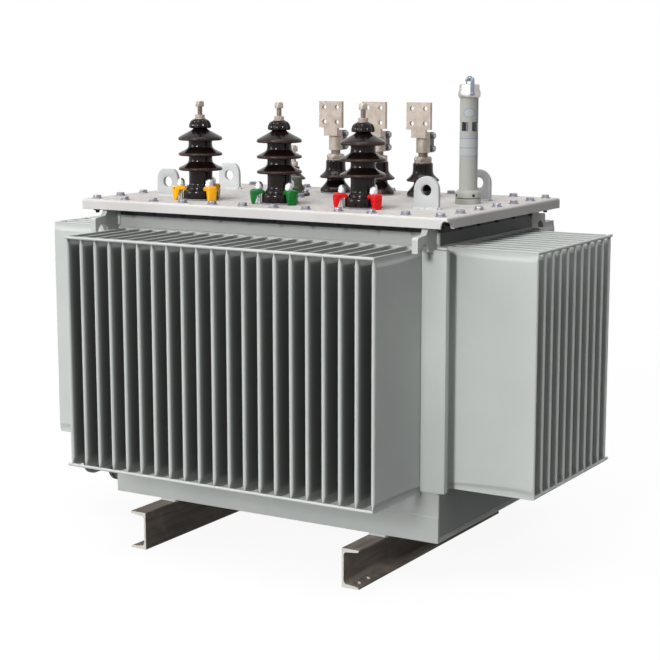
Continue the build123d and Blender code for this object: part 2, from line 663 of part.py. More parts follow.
def gauge_cap():
    """The relief cap: a rounded band over the tube with a small lever on top."""
    bottom = GAUGE_BASE_TOP + GAUGE_TUBE_LENGTH
    top = bottom + GAUGE_CAP_HEIGHT
    edge = GAUGE_CAP_RADIUS - GAUGE_CAP_ROUND
    drum = turned((0, bottom), (edge, bottom), (GAUGE_CAP_RADIUS, bottom + GAUGE_CAP_ROUND),
                  (GAUGE_CAP_RADIUS, top - GAUGE_CAP_ROUND), (edge, top), (0, top))
    post = slab(-GAUGE_LEVER_WIDTH / 2, GAUGE_LEVER_WIDTH / 2, -GAUGE_LEVER_WIDTH / 2, GAUGE_LEVER_WIDTH / 2,
                top, top + GAUGE_LEVER_HEIGHT)
    arm = slab(-GAUGE_LEVER_LENGTH / 2, GAUGE_LEVER_LENGTH / 2, -GAUGE_LEVER_WIDTH / 2, GAUGE_LEVER_WIDTH / 2,
               top + GAUGE_LEVER_HEIGHT - GAUGE_LEVER_PLATE, top + GAUGE_LEVER_HEIGHT)
    return drum + post + arm


def tap_changer():
    """The tap changer's round flange and the cap over its spindle."""
    top = TAP_FLANGE_HEIGHT + TAP_CAP_HEIGHT
    return turned((0, 0), (TAP_FLANGE_RADIUS, 0), (TAP_FLANGE_RADIUS, TAP_FLANGE_HEIGHT),
                  (TAP_CAP_RADIUS, TAP_FLANGE_HEIGHT), (TAP_CAP_RADIUS, top - TAP_CAP_CHAMFER),
                  (TAP_CAP_RADIUS - TAP_CAP_CHAMFER, top), (0, top))


def at_valve(piece):
    """A valve piece, modelled along +Z, laid along the left-hand end's outward normal."""
    place = Pos(-TANK_LENGTH / 2, VALVE_FROM_SIDE - TANK_WIDTH / 2, BASE_BOTTOM + VALVE_RISE)
    return place * Rot(0, -90, 0) * piece


def valve_bonnet_middle():
    """How far out from the tank the bonnet stands."""
    return VALVE_PIPE_LENGTH + 2 * VALVE_FLANGE + VALVE_FLANGE_JOINT + VALVE_BODY_LENGTH / 2


def drain_valve():
    """Pipe stub, pair of flanges, round body with an upright bonnet, and a flared, blanked outlet."""
    flange, pipe = VALVE_FLANGE_RADIUS, VALVE_PIPE_RADIUS
    first = VALVE_PIPE_LENGTH
    joint = first + VALVE_FLANGE
    second = joint + VALVE_FLANGE_JOINT
    body = second + VALVE_FLANGE
    outlet = body + VALVE_BODY_LENGTH
    barrel = turned(
        (0, 0), (pipe, 0), (pipe, first), (flange, first), (flange, joint),
        (flange - VALVE_JOINT_INSET, joint), (flange - VALVE_JOINT_INSET, second),
        (flange, second), (flange, body), (VALVE_BODY_RADIUS, body),
        (VALVE_BODY_RADIUS, outlet - VALVE_OUTLET_TAPER), (VALVE_OUTLET_RADIUS, outlet),
        (VALVE_OUTLET_RADIUS, outlet + VALVE_OUTLET), (0, outlet + VALVE_OUTLET))
    bonnet = Rot(0, 90, 0) * Pos(0, 0, VALVE_BONNET_RISE / 2) * Cylinder(VALVE_BONNET_RADIUS, VALVE_BONNET_RISE)
    return at_valve(barrel + Pos(0, 0, valve_bonnet_middle()) * bonnet)


def valve_wheel():
    """The drain valve's spoked handwheel on its stem."""
    ring = WHEEL_RADIUS - WHEEL_RIM_RADIUS
    rim = revolve(Plane.XZ * Pos(ring, 0) * RegularPolygon(WHEEL_RIM_RADIUS, 8), Axis.Z)
    half = WHEEL_SPOKE_WIDTH / 2
    spokes = slab(-ring, ring, -half, half, -half / 2, half / 2) + slab(-half, half, -ring, ring, -half / 2, half / 2)
    hub = Cylinder(WHEEL_HUB_RADIUS, 2 * WHEEL_RIM_RADIUS)
    stem = Pos(0, 0, -VALVE_STEM_LENGTH / 2) * Cylinder(VALVE_STEM_RADIUS, VALVE_STEM_LENGTH)
    out = TANK_LENGTH / 2 + valve_bonnet_middle()
    seat = BASE_BOTTOM + VALVE_RISE + VALVE_BONNET_RISE
    place = Pos(-out, VALVE_FROM_SIDE - TANK_WIDTH / 2, seat + VALVE_STEM_LENGTH)
    return place * (rim + spokes + hub + stem)


def build():
    """Every node of the transformer by name."""
    long_half = TANK_LENGTH / 2 + WALL_SHEET + CORNER_OVERHANG
    front_wall = at_front(fin_wall(LONG_WALL_FIN_COUNT, LONG_FIN_DEPTH, long_half, BASE_LENGTH / 2))
    right_wall = at_right(fin_wall(END_WALL_FIN_COUNT, END_FIN_DEPTH, TANK_WIDTH / 2, TANK_WIDTH / 2))
    long_rods = fin_bars(LONG_WALL_FIN_COUNT, LONG_FIN_DEPTH, LONG_BAR_OVERHANG, BAR_FLUSH_END)
    end_rods = fin_bars(END_WALL_FIN_COUNT, END_FIN_DEPTH, BAR_FLUSH_END, END_BAR_OVERHANG)
    front_bars = [at_front(rod) for rod in long_rods]
    right_bars = [at_right(rod) for rod in end_rods]
    right_skid, left_skid = both_ends(skid_channel())
    lugs = front_and_back(round_lug()) + front_and_back(cut_lug())
    neutral, *phases = lv_places()
    hv = dict(zip(("left", "middle", "right"), hv_places()))
    lv = dict(zip(("left", "middle", "right"), phases))
    rings = [on_cover(x, y, gasket_ring(HV_FOOT_RADIUS + HV_GASKET_LIP)) for x, y in hv.values()]
    rings += [on_cover(x, y, gasket_ring(PHASE.foot)) for x, y in phases]
    rings += [on_cover(*neutral, gasket_ring(NEUTRAL.foot))]
    nodes = {
        "skid_right": right_skid,
        "skid_left": left_skid,
        "skid_pads": group(*both_ends(skid_pad())),
        "base_floor": base_floor(),
        "base_sides": group(*front_and_back(base_side())),
        "base_ends": group(*both_ends(base_end())),
        "fin_wall_front": front_wall,
        "fin_wall_back": mirror(front_wall, Plane.XZ),
        "fin_wall_right": right_wall,
        "fin_wall_left": mirror(right_wall, Plane.YZ),
        "fin_bars_long": group(*[twin for rod in front_bars for twin in front_and_back(rod)]),
        "fin_bars_ends": group(*[twin for rod in right_bars for twin in both_ends(rod)]),
        "band_sides": group(*front_and_back(band_side())),
        "band_ends": group(*both_ends(band_end())),
        "rim_sides": group(*front_and_back(rim_side())),
        "rim_ends": group(*both_ends(rim_end())),
        "cover_gasket": cover_gasket(),
        "cover": cover(),
        "hooks_front": group(*both_ends(lifting_hook())),
        "hooks_back": group(*both_ends(mirror(lifting_hook(), Plane.XZ))),
        "cover_lugs": group(*lugs),
        "bushing_gaskets": group(*rings),
        "hv_caps": group(*[on_cover(x, y, hv_cap()) for x, y in hv.values()]),
        "hv_studs": group(*[on_cover(x, y, hv_stud()) for x, y in hv.values()]),
        "lv_bushing_neutral": on_cover(*neutral, lv_porcelain(NEUTRAL)),
        "lv_stud_neutral": on_cover(*neutral, neutral_stud()),
        "lv_studs": group(*[on_cover(x, y, lv_stud(PHASE)) for x, y in phases]),
        "gauge_base": on_cover(gauge_x(), GAUGE_FROM_MIDDLE, gauge_base()),
        "gauge_tube": on_cover(gauge_x(), GAUGE_FROM_MIDDLE, gauge_tube()),
        "gauge_cap": on_cover(gauge_x(), GAUGE_FROM_MIDDLE, gauge_cap()),
        "tap_changer": on_cover(TAP_X, TAP_Y, tap_changer()),
        "drain_valve": drain_valve(),
        "drain_wheel": valve_wheel(),
    }
    for side, (x, y) in hv.items():
        nodes["hv_bushing_" + side] = on_cover(x, y, hv_porcelain())
        nodes["hv_claws_" + side] = claws(x, y)
    for side, (x, y) in lv.items():
        nodes["lv_bushing_" + side] = on_cover(x, y, lv_porcelain(PHASE))
        nodes["lv_flag_" + side] = on_cover(x, y, lv_flag())
    return nodes


os.makedirs("parts", exist_ok=True)
for name, piece in build().items():
    export_step(piece, "parts/" + name + ".step")
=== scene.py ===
import random
from math import copysign, cos, hypot, pi, radians, sin, sqrt

import bmesh
import bpy
from mathutils import Matrix, Vector


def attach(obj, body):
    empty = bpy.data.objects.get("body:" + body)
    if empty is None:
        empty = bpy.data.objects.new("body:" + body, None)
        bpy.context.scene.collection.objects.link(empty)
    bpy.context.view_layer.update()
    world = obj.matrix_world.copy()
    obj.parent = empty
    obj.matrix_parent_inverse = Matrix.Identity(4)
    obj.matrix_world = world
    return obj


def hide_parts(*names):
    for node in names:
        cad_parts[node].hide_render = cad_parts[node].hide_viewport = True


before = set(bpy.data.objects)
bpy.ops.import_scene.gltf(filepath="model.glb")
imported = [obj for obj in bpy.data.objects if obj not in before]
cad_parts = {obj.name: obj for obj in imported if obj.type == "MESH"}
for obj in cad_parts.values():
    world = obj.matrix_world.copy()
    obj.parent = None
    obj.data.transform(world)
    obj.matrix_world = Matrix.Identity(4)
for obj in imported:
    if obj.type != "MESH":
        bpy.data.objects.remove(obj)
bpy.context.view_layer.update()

# Skids: two hot-rolled steel channels the tank stands on, back to back, under one thin
# coat of grey-brown primer. Rolling streaks run along them, rust freckles show through
# where the coat is thin, and the sawn ends are nearly bare.
MM = 0.001
SKID_EASE = 1.0


class Wire:
    """A socket in a finish: + - * on it add Math nodes, and node() adds any other node."""

    def __init__(self, tree, socket=None):
        self.tree = tree
        self.socket = socket

    def node(self, kind, settings, sockets, out=0):
        made = self.tree.nodes.new("ShaderNode" + kind)
        for name, value in settings.items():
            setattr(made, name, value)
        for name, value in sockets.items():
            if isinstance(value, Wire):
                self.tree.links.new(value.socket, made.inputs[name])
            else:
                made.inputs[name].default_value = value
        return Wire(self.tree, made.outputs[out] if made.outputs else None)

    def maths(self, operation, first, second):
        return self.node("Math", {"operation": operation}, {0: first, 1: second})

    def __add__(self, other):
        return self.maths("ADD", self, other)

    def __rsub__(self, other):
        return self.maths("SUBTRACT", other, self)

    def __mul__(self, other):
        return self.maths("MULTIPLY", self, other)

    __radd__ = __add__
    __rmul__ = __mul__

    def over(self, low, high):
        """0 up to low, 1 from high on, eased between them."""
        return self.node("MapRange", {"interpolation_type": "SMOOTHSTEP"},
                         {"Value": self, "From Min": low, "From Max": high})

    def tint(self, low, high):
        """One colour where this is 0, the other where it is 1."""
        return self.node("Mix", {"data_type": "RGBA"}, {0: self, 6: low, 7: high}, out=2)


def colour(red, green, blue):
    """A colour as a paint card gives it, 0 to 255, in the renderer's own numbers."""
    parts = [value / 255 for value in (red, green, blue)]
    return [p / 12.92 if p <= 0.04045 else ((p + 0.055) / 1.055) ** 2.4 for p in parts] + [1.0]


def new_finish(name):
    """An empty finish, and the wire of the place on the object that it colours."""
    made = bpy.data.materials.new(name)
    made.use_nodes = True
    made.node_tree.nodes.clear()
    return made, Wire(made.node_tree).node("TexCoord", {}, {}, out="Object")


def cloud(place, size, detail=2.0):
    """Soft noise with patches of about a size in millimetres."""
    return place.node("TexNoise", {}, {"Vector": place, "Scale": 1 / (size * MM), "Detail": detail})


def stretched(place, x, y, z):
    """The place with each direction drawn out or pressed together."""
    return place.node("VectorMath", {"operation": "MULTIPLY"}, {0: place, 1: (x, y, z)})


def measured(place, axis):
    """How far along an axis a place lies."""
    return place.node("SeparateXYZ", {}, {0: place}, out=axis)


def facing(place, axis):
    """1 on faces that look along an axis, 0 on those beside it, -1 on those that look back."""
    return measured(place.node("NewGeometry", {}, {}, out="Normal"), axis)


def bumps(place, height, depth, strength=1.0):
    """A relief of a depth in millimetres for the shader's normal."""
    return place.node("Bump", {}, {"Strength": strength, "Distance": depth * MM, "Height": height})


def lay(place, sockets):
    """Closes a finish with one shader."""
    shader = place.node("BsdfPrincipled", {}, sockets)
    place.node("OutputMaterial", {}, {"Surface": shader})


def dress(node, finish, ease):
    """Keeps a CAD piece: eases its edges and gives it its finish."""
    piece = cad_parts[node]
    joined = piece.modifiers.new("joined", "WELD")
    joined.merge_threshold = 0.01 * MM
    eased = piece.modifiers.new("eased", "BEVEL")
    eased.width = ease * MM
    eased.segments = 2
    eased.limit_method = "ANGLE"
    eased.angle_limit = radians(40)
    level = piece.modifiers.new("level", "WEIGHTED_NORMAL")
    level.keep_sharp = True
    for slot in piece.material_slots:
        slot.material = finish


primer, place = new_finish("skid_primer")
streaks = cloud(stretched(place, 1, 0.06, 1), 12, 4)
patches = cloud(place, 60, 5)
freckles = cloud(place, 5, 3).over(0.66, 0.74) * patches.over(0.45, 0.62)
coat = streaks.over(0.3, 0.72).tint(colour(142, 132, 123), colour(114, 105, 98))
coat = patches.over(0.5, 0.75).tint(coat, colour(156, 146, 136))
coat = (0.8 * freckles).tint(coat, colour(128, 78, 48))
end_on = facing(place, "Y")
sawn = (end_on * end_on).over(0.75, 0.9)
coat = (0.85 * sawn).tint(coat, colour(214, 212, 204))
lay(place, {"Base Color": coat, "Roughness": 0.5 + 0.2 * patches + 0.2 * freckles, "Specular IOR Level": 0.12,
            "Normal": bumps(place, streaks + 0.6 * patches, 0.5, 0.5)})
for node in ("skid_left", "skid_right"):
    dress(node, primer, SKID_EASE)

# Packing strips and skid welds: flat bars between skids and floor plate, run round with
# hand-laid fillet welds and sprayed light grey with the tank.
# The enamel clouds faintly, has an orange-peel skin, and keeps dust on ledges.
STRIP_EASE = 0.8
SKID_X, TANK_HALF_Y = (301, 349), 266
SKID_TOP, FLOOR_UNDER = 100, 105
scene = bpy.context.scene


def marked(place):
    """The mark that a mesh carries on its points."""
    return place.node("Attribute", {"attribute_name": "mark"}, {}, out="Fac")


def enamel(name, paint, clouded, dust, shine, painted_shade=None, shadow_from=None):
    """Sprayed machine enamel: clouds, orange peel, dust on ledges, and painted shade where marked or above a
    level.
    """
    made, place = new_finish(name)
    drift = cloud(place, 240, 3)
    grain = cloud(place, 16, 5)
    skin = cloud(place, 2.2, 1)
    settled = 0.4 * facing(place, "Z").over(0.55, 0.97) * grain.over(0.4, 0.7)
    coat = drift.over(0.3, 0.7).tint(colour(*paint), colour(*clouded))
    if painted_shade:
        shadowed = measured(place, "Z").over((shadow_from - 1) * MM, (shadow_from + 1) * MM) if shadow_from else marked(place)
        coat = shadowed.tint(coat, colour(*painted_shade))
    lay(place, {"Base Color": settled.tint(coat, colour(*dust)), "Specular IOR Level": 0.16,
                "Roughness": shine + 0.14 * grain + 0.3 * settled,
                "Normal": bumps(place, skin + 3 * grain, 0.12, 0.45)})
    return made


def whole_turn(steps):
    """Angles all the way round."""
    return [2 * pi * i / steps for i in range(steps)]


def spot(radius, turn, level):
    """The point at a radius, an angle and a level."""
    return radius * cos(turn), radius * sin(turn), level


def arc(radius, level, turns):
    """Points at a radius and a level, one for each angle."""
    return [spot(radius, turn, level) for turn in turns]


class Shape:
    """A mesh under way, in millimetres, with a mark on each point for its finish to use."""

    def __init__(self):
        self.mesh = bmesh.new()
        self.mark = self.mesh.verts.layers.float.new("mark")

    def skin(self, rings, marks=None, place=Matrix(), capped=True):
        """Joins like rings of points one after another, then caps both ends or meets the first again."""
        rows = []
        for i, ring in enumerate(rings):
            row = [self.mesh.verts.new(place @ Vector(point)) for point in ring]
            for point, mark in zip(row, marks[i] if marks else [0.0] * len(row)):
                point[self.mark] = mark
            rows.append(row)
        faces = [self.mesh.faces.new(rows[0][::-1]), self.mesh.faces.new(rows[-1])] if capped else []
        for low, high in zip(rows, rows[1:] if capped else rows[1:] + rows[:1]):
            for i in range(len(low)):
                j = (i + 1) % len(low)
                faces.append(self.mesh.faces.new((low[i], low[j], high[j], high[i])))
        return faces

    def turned(self, profile, place=Matrix(), steps=48, marks=None):
        """A lathe piece: radius and height pairs turned about the upright axis."""
        rings = [arc(r, z, whole_turn(steps)) for r, z in profile]
        self.skin(rings, marks and [[mark] * steps for mark in marks], place)

    def plate(self, outline, low, high, place=Matrix(), ease=1.0):
        """A flat plate cut to an outline, from one level to another, its edges eased."""
        faces = self.skin([[(x, y, level) for x, y in outline] for level in (low, high)], place=place)
        if ease:
            self.eased(faces, ease)

    def eased(self, faces, ease):
        """Rounds the sharp edges of some faces."""
        edges = {edge for face in faces for edge in face.edges}
        bmesh.ops.recalc_face_normals(self.mesh, faces=faces)
        sharp = [edge for edge in edges if edge.calc_face_angle(0) > 0.5]
        bmesh.ops.bevel(self.mesh, geom=sharp, offset=ease, segments=2, profile=0.5, affect="EDGES",
                        clamp_overlap=True)

    def bead(self, path, size, seed):
        """A hand-laid weld along a line of corners: overlapping ripples, a little uneven."""
        uneven = random.Random(seed)
        for start, stop in zip(path, path[1:]):
            start = Vector(start)
            run = Vector(stop) - start
            side = run.orthogonal().normalized()
            up = run.cross(side).normalized()
            count = max(2, round(run.length / (1.2 * size)))
            rings = []
            for i in range(count):
                swell = size * uneven.uniform(0.88, 1.12)
                for part, grow in ((0.0, 0.86), (0.4, 1.0), (0.8, 0.95)):
                    middle = start + run * ((i + part) / count)
                    rings.append([middle + (side * cos(t) + up * sin(t)) * swell * grow
                                  for t in whole_turn(8)])
            self.skin(rings)

    def done(self, name, finish, slot, *nodes, crease=38):
        """Makes the piece: smooth up to the crease angle, on the tank's body; its slot is not used."""
        bmesh.ops.recalc_face_normals(self.mesh, faces=self.mesh.faces[:])
        for face in self.mesh.faces:
            face.smooth = True
        for edge in self.mesh.edges:
            edge.smooth = edge.calc_face_angle(0) < radians(crease)
        self.mesh.transform(Matrix.Scale(MM, 4))
        data = bpy.data.meshes.new(name)
        self.mesh.to_mesh(data)
        self.mesh.free()
        data.materials.append(finish)
        piece = bpy.data.objects.new(name, data)
        scene.collection.objects.link(piece)
        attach(piece, "root")
        if nodes:
            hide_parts(*nodes)


# Its last colour is painted shade, laid on the fin flanks deep between the fins.
tank_enamel = enamel("tank_enamel", (191, 195, 192), (185, 189, 187), (196, 194, 186), 0.3,
                     (117, 119, 118))
dress("skid_pads", tank_enamel, STRIP_EASE)
welds = Shape()
for side in (-1, 1):
    for i, x in enumerate(SKID_X):
        for level, size, seed in ((FLOOR_UNDER, 3.2, 10), (SKID_TOP, 2.6, 20)):
            seam = [(side * x, y, level) for y in (4 - TANK_HALF_Y, TANK_HALF_Y - 4)]
            welds.bead(seam, size, seed * i + side)
    for front in (-1, 1):
        seam = [(side * x, front * TANK_HALF_Y, SKID_TOP) for x in SKID_X]
        welds.bead(seam, 2.4, 30 + side + front)
welds.done("skid_welds", tank_enamel, "tank_paint")

# Tank base: 6 mm floor, side and end plates welded into a trough. The side plates are
# joggled below the fins and lap over the ends, so their edges stand proud as lips.
# The seams in the corners are welded all along; the base is painted a little darker than the tank as shade
# under the fins, the ends darker still.
BASE_EASE, BASE_BEAD = 1.2, 3.0
BASE_LIP_X, BASE_END_X, BASE_INNER_Y = 497, 491, 260
FLOOR_TOP, SHEET_LOW = 112, 230
# Darker copies of the tank's grey, as painted shade.
base_shaded_enamel = enamel("base_shaded_enamel", (178, 181, 178), (171, 175, 173), (186, 184, 176), 0.34)
shaded_ends_enamel = enamel("base_end_enamel", (146, 149, 147), (138, 142, 140), (156, 154, 148), 0.45)
for node in ("base_floor", "base_sides", "base_ends"):
    dress(node, shaded_ends_enamel if node == "base_ends" else base_shaded_enamel, BASE_EASE)
welds = Shape()
for side in (-1, 1):
    end = side * BASE_END_X
    welds.bead([(end, y, FLOOR_TOP) for y in (-BASE_INNER_Y, BASE_INNER_Y)], BASE_BEAD, 40 + side)
    for front in (-1, 1):
        corner = [(end, front * BASE_INNER_Y, z) for z in (FLOOR_TOP, SHEET_LOW - 1)]
        welds.bead(corner, BASE_BEAD, 42 + side + 3 * front)
for front in (-1, 1):
    seam = [(x, front * (TANK_HALF_Y + 1.5), SHEET_LOW) for x in (3 - BASE_LIP_X, BASE_LIP_X - 3)]
    welds.bead(seam, 2.6, 50 + front)
welds.done("base_welds", base_shaded_enamel, "tank_paint")

# Cooling walls: thin steel sheet folded into deep flat fins. The top and bottom of every
# fin are pressed flat, so its flanks hollow in an arch, and the mouth is welded shut.
# The front and back sheets run past the corners; the flanks are painted darker deep between the fins, as
# shade.
FIN_PITCH, FIN_HALF, FIN_SEAM_HALF = 45, 5.0, 1.5
LONG_FIN_LOW, END_FIN_LOW, FIN_HIGH = 232, 238, 836
SHEET, SHEET_HIGH = 4, 838
ROOT_BEND = 9.0
# The painted shade starts this far in from the nose and grows to full over the next span.
SHADE_CLEAR, SHADE_FADE = 3, 16
POST_X, POST_NOTCH_X, POST_FOOT = 515, 497, 238


def rotated(degrees, axis="Z"):
    """A turn on the spot, seen from above, or about another axis."""
    return Matrix.Rotation(radians(degrees), 4, axis)


def moved(x, y, z):
    """A shift along the three axes."""
    return Matrix.Translation((x, y, z))


UPRIGHT = rotated(90, "X")


def pressed_height(out):
    """How far up the pressing reaches, from the wall (0) to the nose (1)."""
    return 17 + 8 * out + 4 * sin(pi * out)


def flank_steps(depth):
    """How far out along a flank its points lie."""
    parts = (0.07, 0.14, 0.23, 0.33, 0.43, 0.53, 0.63, 0.72, 0.8, 0.87, 0.93)
    return [0, 1.2, 3, 6] + [depth * part for part in parts] + [depth - FIN_HALF]


def fin_ring(depth, rise, low, sign):
    """One closed line round a fin: along a flank, over the nose and back."""
    points = []
    for out in flank_steps(depth):
        level, thick = rise(out / depth)
        root = ROOT_BEND - sqrt(max(0.0, ROOT_BEND ** 2 - max(0.0, ROOT_BEND - out) ** 2))
        points.append((thick + root, -out, low + sign * level))
    level, thick = rise(1.0)
    tip = max(0.0, FIN_HALF + 1 - level)
    drop = FIN_HALF + 1 - sqrt(max(0.0, (FIN_HALF + 1) ** 2 - tip ** 2)) if tip else 0.0
    for turn in [pi * k / 16 for k in range(1, 8)]:
        out = depth - FIN_HALF + (FIN_HALF - drop) * sin(turn)
        points.append((thick * cos(turn), -out, low + sign * level))
    return points + [(0.0, -(depth - drop), low + sign * level)] + [(-x, y, z) for x, y, z in points[::-1]]


def fin_rise(share, bead):
    """Height above the welded mouth and half thickness there, by how far out along the fin."""
    def at(out):
        if bead is not None:
            return bead
        start = 0.5 - 0.3 * max(0.0, min(1.0, (out - 0.9) / 0.1))
        opened = max(0.0, min(1.0, (share - start) / (1 - start)))
        thick = FIN_SEAM_HALF + (FIN_HALF - FIN_SEAM_HALF) * opened * opened * (3 - 2 * opened)
        return share * pressed_height(min(1.0, out)), thick
    return at


MOUTH = [fin_rise(0, weld) for weld in ((0.0, 1.0), (0.8, 2.0), (2.2, 2.2), (3.2, 1.5))]
PRESSED = [fin_rise(share, None) for share in (0.3, 0.42, 0.56, 0.7, 0.83, 0.93, 1.0, 1.08, 1.4)]


def fin(shape, depth, fin_low, place, right, left):
    """One fin facing the front; right and left tell how much painted shade lies on its two flanks."""
    rises = MOUTH + PRESSED
    inside = [max(0.0, min(1.0, (depth - out - SHADE_CLEAR) / SHADE_FADE)) for out in flank_steps(depth)]
    marks = [right * mark for mark in inside] + [0.0] * 15 + [left * mark for mark in inside[::-1]]
    rings = [fin_ring(depth, rise, fin_low, 1) for rise in rises]
    rings += [fin_ring(depth, rise, FIN_HIGH, -1) for rise in rises[::-1]]
    reach = [max(0.0, (i - 3) / (len(rises) - 4)) for i in range(len(rises))]
    shape.skin(rings, [[share * mark for mark in marks] for share in reach + reach[::-1]], place)


def cooling_wall(name, node, fins, depth, fin_low, painted_shade, turn, wall_out, outline):
    """A sheet with its row of fins, turned to its side of the tank."""
    towards = rotated(turn) @ moved(0, -wall_out, 0)
    shape = Shape()
    shape.plate(outline, 0, SHEET, towards @ UPRIGHT, 0.8)
    for i in range(fins):
        across = (i - (fins - 1) / 2) * FIN_PITCH
        fin(shape, depth, fin_low, towards @ moved(across, -SHEET + 1, 0),
            painted_shade * (i < fins - 1), painted_shade * (i > 0))
    shape.done(name, tank_enamel, "tank_paint", node, crease=32)


LONG_FINS, LONG_DEPTH = 21, 243
END_FINS, END_DEPTH = 11, 239
long_outline = [(-POST_NOTCH_X, SHEET_LOW), (POST_NOTCH_X, SHEET_LOW), (POST_NOTCH_X, POST_FOOT),
                (POST_X, POST_FOOT), (POST_X, SHEET_HIGH), (-POST_X, SHEET_HIGH), (-POST_X, POST_FOOT),
                (-POST_NOTCH_X, POST_FOOT)]
end_outline = [(-TANK_HALF_Y, SHEET_LOW), (TANK_HALF_Y, SHEET_LOW), (TANK_HALF_Y, SHEET_HIGH),
               (-TANK_HALF_Y, SHEET_HIGH)]
# The long walls carry the full painted shade between their fins, the end walls a fifth of it.
for side, turn in (("front", 0), ("back", 180)):
    cooling_wall(side + "_cooling_wall", "fin_wall_" + side, LONG_FINS, LONG_DEPTH, LONG_FIN_LOW, 1.0, turn,
                 TANK_HALF_Y, long_outline)
for side, turn in (("right", 90), ("left", -90)):
    cooling_wall(side + "_cooling_wall", "fin_wall_" + side, END_FINS, END_DEPTH, END_FIN_LOW, 0.2, turn,
                 BASE_END_X, end_outline)

# Corner posts: thin steel folded into shallow boxes over the ends of the front and back
# sheets, welded on and sprayed with the tank.
POST_INNER_X, POST_OUTER_X, POST_FRONT_Y, POST_TOP, POST_EASE = 456, 523, 288, 833, 2.5
CORNERS = [(side, front) for side in (-1, 1) for front in (-1, 1)]
posts = Shape()
for side, front in CORNERS:
    near, far = front * (TANK_HALF_Y + 3), front * POST_FRONT_Y
    outline = [(POST_INNER_X, near), (POST_OUTER_X, near), (POST_OUTER_X, far), (POST_INNER_X, far)]
    posts.plate([(side * x, y) for x, y in outline], POST_FOOT, POST_TOP, ease=POST_EASE)
posts.done("corner_posts", tank_enamel, "tank_paint")

# Stiffening rods: round bars laid in the noses along the top and bottom of each wall,
# tacked to every fin: cropped flush at one corner, past the last fin at the other.
ROD, ROD_BEND, ROD_SIDES = 4.0, 0.8, 14
FLUSH, TOP_SHARE = 1, 0.6
TACK = 3.0


def rods(name, node, fins, depth, fin_low, wall_out, turns):
    """The top and bottom rods of two like walls, with their tacks; each turn has its two overhangs."""
    shape = Shape()
    uneven = random.Random(name)
    last = (fins - 1) / 2 * FIN_PITCH
    for turn, low_over, high_over in turns:
        towards = rotated(turn)
        out = -(wall_out + SHEET - 1 + depth - ROD)
        for level, share in ((fin_low + ROD, 1.0), (FIN_HIGH - ROD, TOP_SHARE)):
            first_end, last_end = -last - share * low_over, last + share * high_over
            bend = uneven.uniform(-ROD_BEND, ROD_BEND)
            lift = uneven.uniform(0.2, 1.0) * ROD_BEND
            rings = []
            stations = [first_end, first_end + 0.8, last_end - 0.8, last_end]
            stations += [i * FIN_PITCH - last + shift for i in range(fins) for shift in (-12, 12)]
            stations = sorted(x for x in stations if first_end <= x <= last_end)
            for k, x in enumerate(stations):
                radius = ROD * (0.8 if k in (0, len(stations) - 1) else 1.0)
                past = max(0.0, abs(x) - last) / 20
                sway = uneven.uniform(-0.15, 0.15)
                rings.append([(x, out + sway + bend * past * 0.4 + radius * cos(t),
                               level + lift * past + radius * sin(t)) for t in whole_turn(ROD_SIDES)])
            shape.skin(rings, place=towards)
            inward = level + (TACK if level < FIN_HIGH / 2 else -TACK)
            for i in range(fins):
                x = i * FIN_PITCH - last
                tack = [towards @ Vector((x + half, out + TACK, inward)) for half in (-2.5, 2.5)]
                shape.bead(tack, 2.0, i)
    shape.done(name, tank_enamel, "tank_paint", node)


rods("long_wall_rods", "fin_bars_long", LONG_FINS, LONG_DEPTH, LONG_FIN_LOW, TANK_HALF_Y,
     ((0, 15, FLUSH), (180, FLUSH, 15)))
rods("end_wall_rods", "fin_bars_ends", END_FINS, END_DEPTH, END_FIN_LOW, BASE_END_X,
     ((90, FLUSH, 25), (-90, 25, FLUSH)))

# Band and rim: flat steel strips welded round the top of the tank, and a flat bar flange on
# them that carries the cover. The cooling walls' sheets are welded to the band's foot.
# The end strips are painted darker as shade, and close under the cover the band and rim are painted near
# black as its shadow.
BAND_EASE = 0.8
PAINTED_SHADOW_FROM, RIM_UNDER = 870, 893
# Above this level, the cover's shadow is painted near black; the end strips' enamel is a darker copy, as
# painted shade.
band_enamel = enamel("band_enamel", (172, 174, 170), (166, 169, 166), (190, 188, 180), 0.3,
                     (66, 68, 70), PAINTED_SHADOW_FROM)
end_shade_enamel = enamel("band_end_shade_enamel", (104, 107, 105), (96, 99, 98), (126, 125, 120), 0.45,
                     (52, 54, 55), PAINTED_SHADOW_FROM)
for node in ("band_sides", "band_ends", "rim_sides", "rim_ends"):
    dress(node, end_shade_enamel if "ends" in node else band_enamel, BAND_EASE)
welds = Shape()
for level, out, size, seed in ((SHEET_HIGH, 2, 2.8, 0), (RIM_UNDER, 0, 3.5, 2)):
    for side in (-1, 1):
        x, y = side * (BASE_END_X + out), side * (TANK_HALF_Y + out)
        welds.bead([(-BASE_END_X, y, level), (BASE_END_X, y, level)], size, 60 + seed + side)
        welds.bead([(x, -TANK_HALF_Y, level), (x, TANK_HALF_Y, level)], size, 64 + seed + side)
for side, front in CORNERS:
    corner = [(side * BASE_END_X, front * TANK_HALF_Y, z) for z in (SHEET_HIGH + 1, RIM_UNDER - 1)]
    welds.bead(corner, 4.0, 68 + side + 3 * front)
    post = [(side * (BASE_END_X + 4), front * (TANK_HALF_Y - 1), z) for z in (POST_FOOT + 4, POST_TOP + 1)]
    welds.bead(post, 2.6, 74 + side + 3 * front)
welds.done("band_welds", band_enamel, "tank_paint")

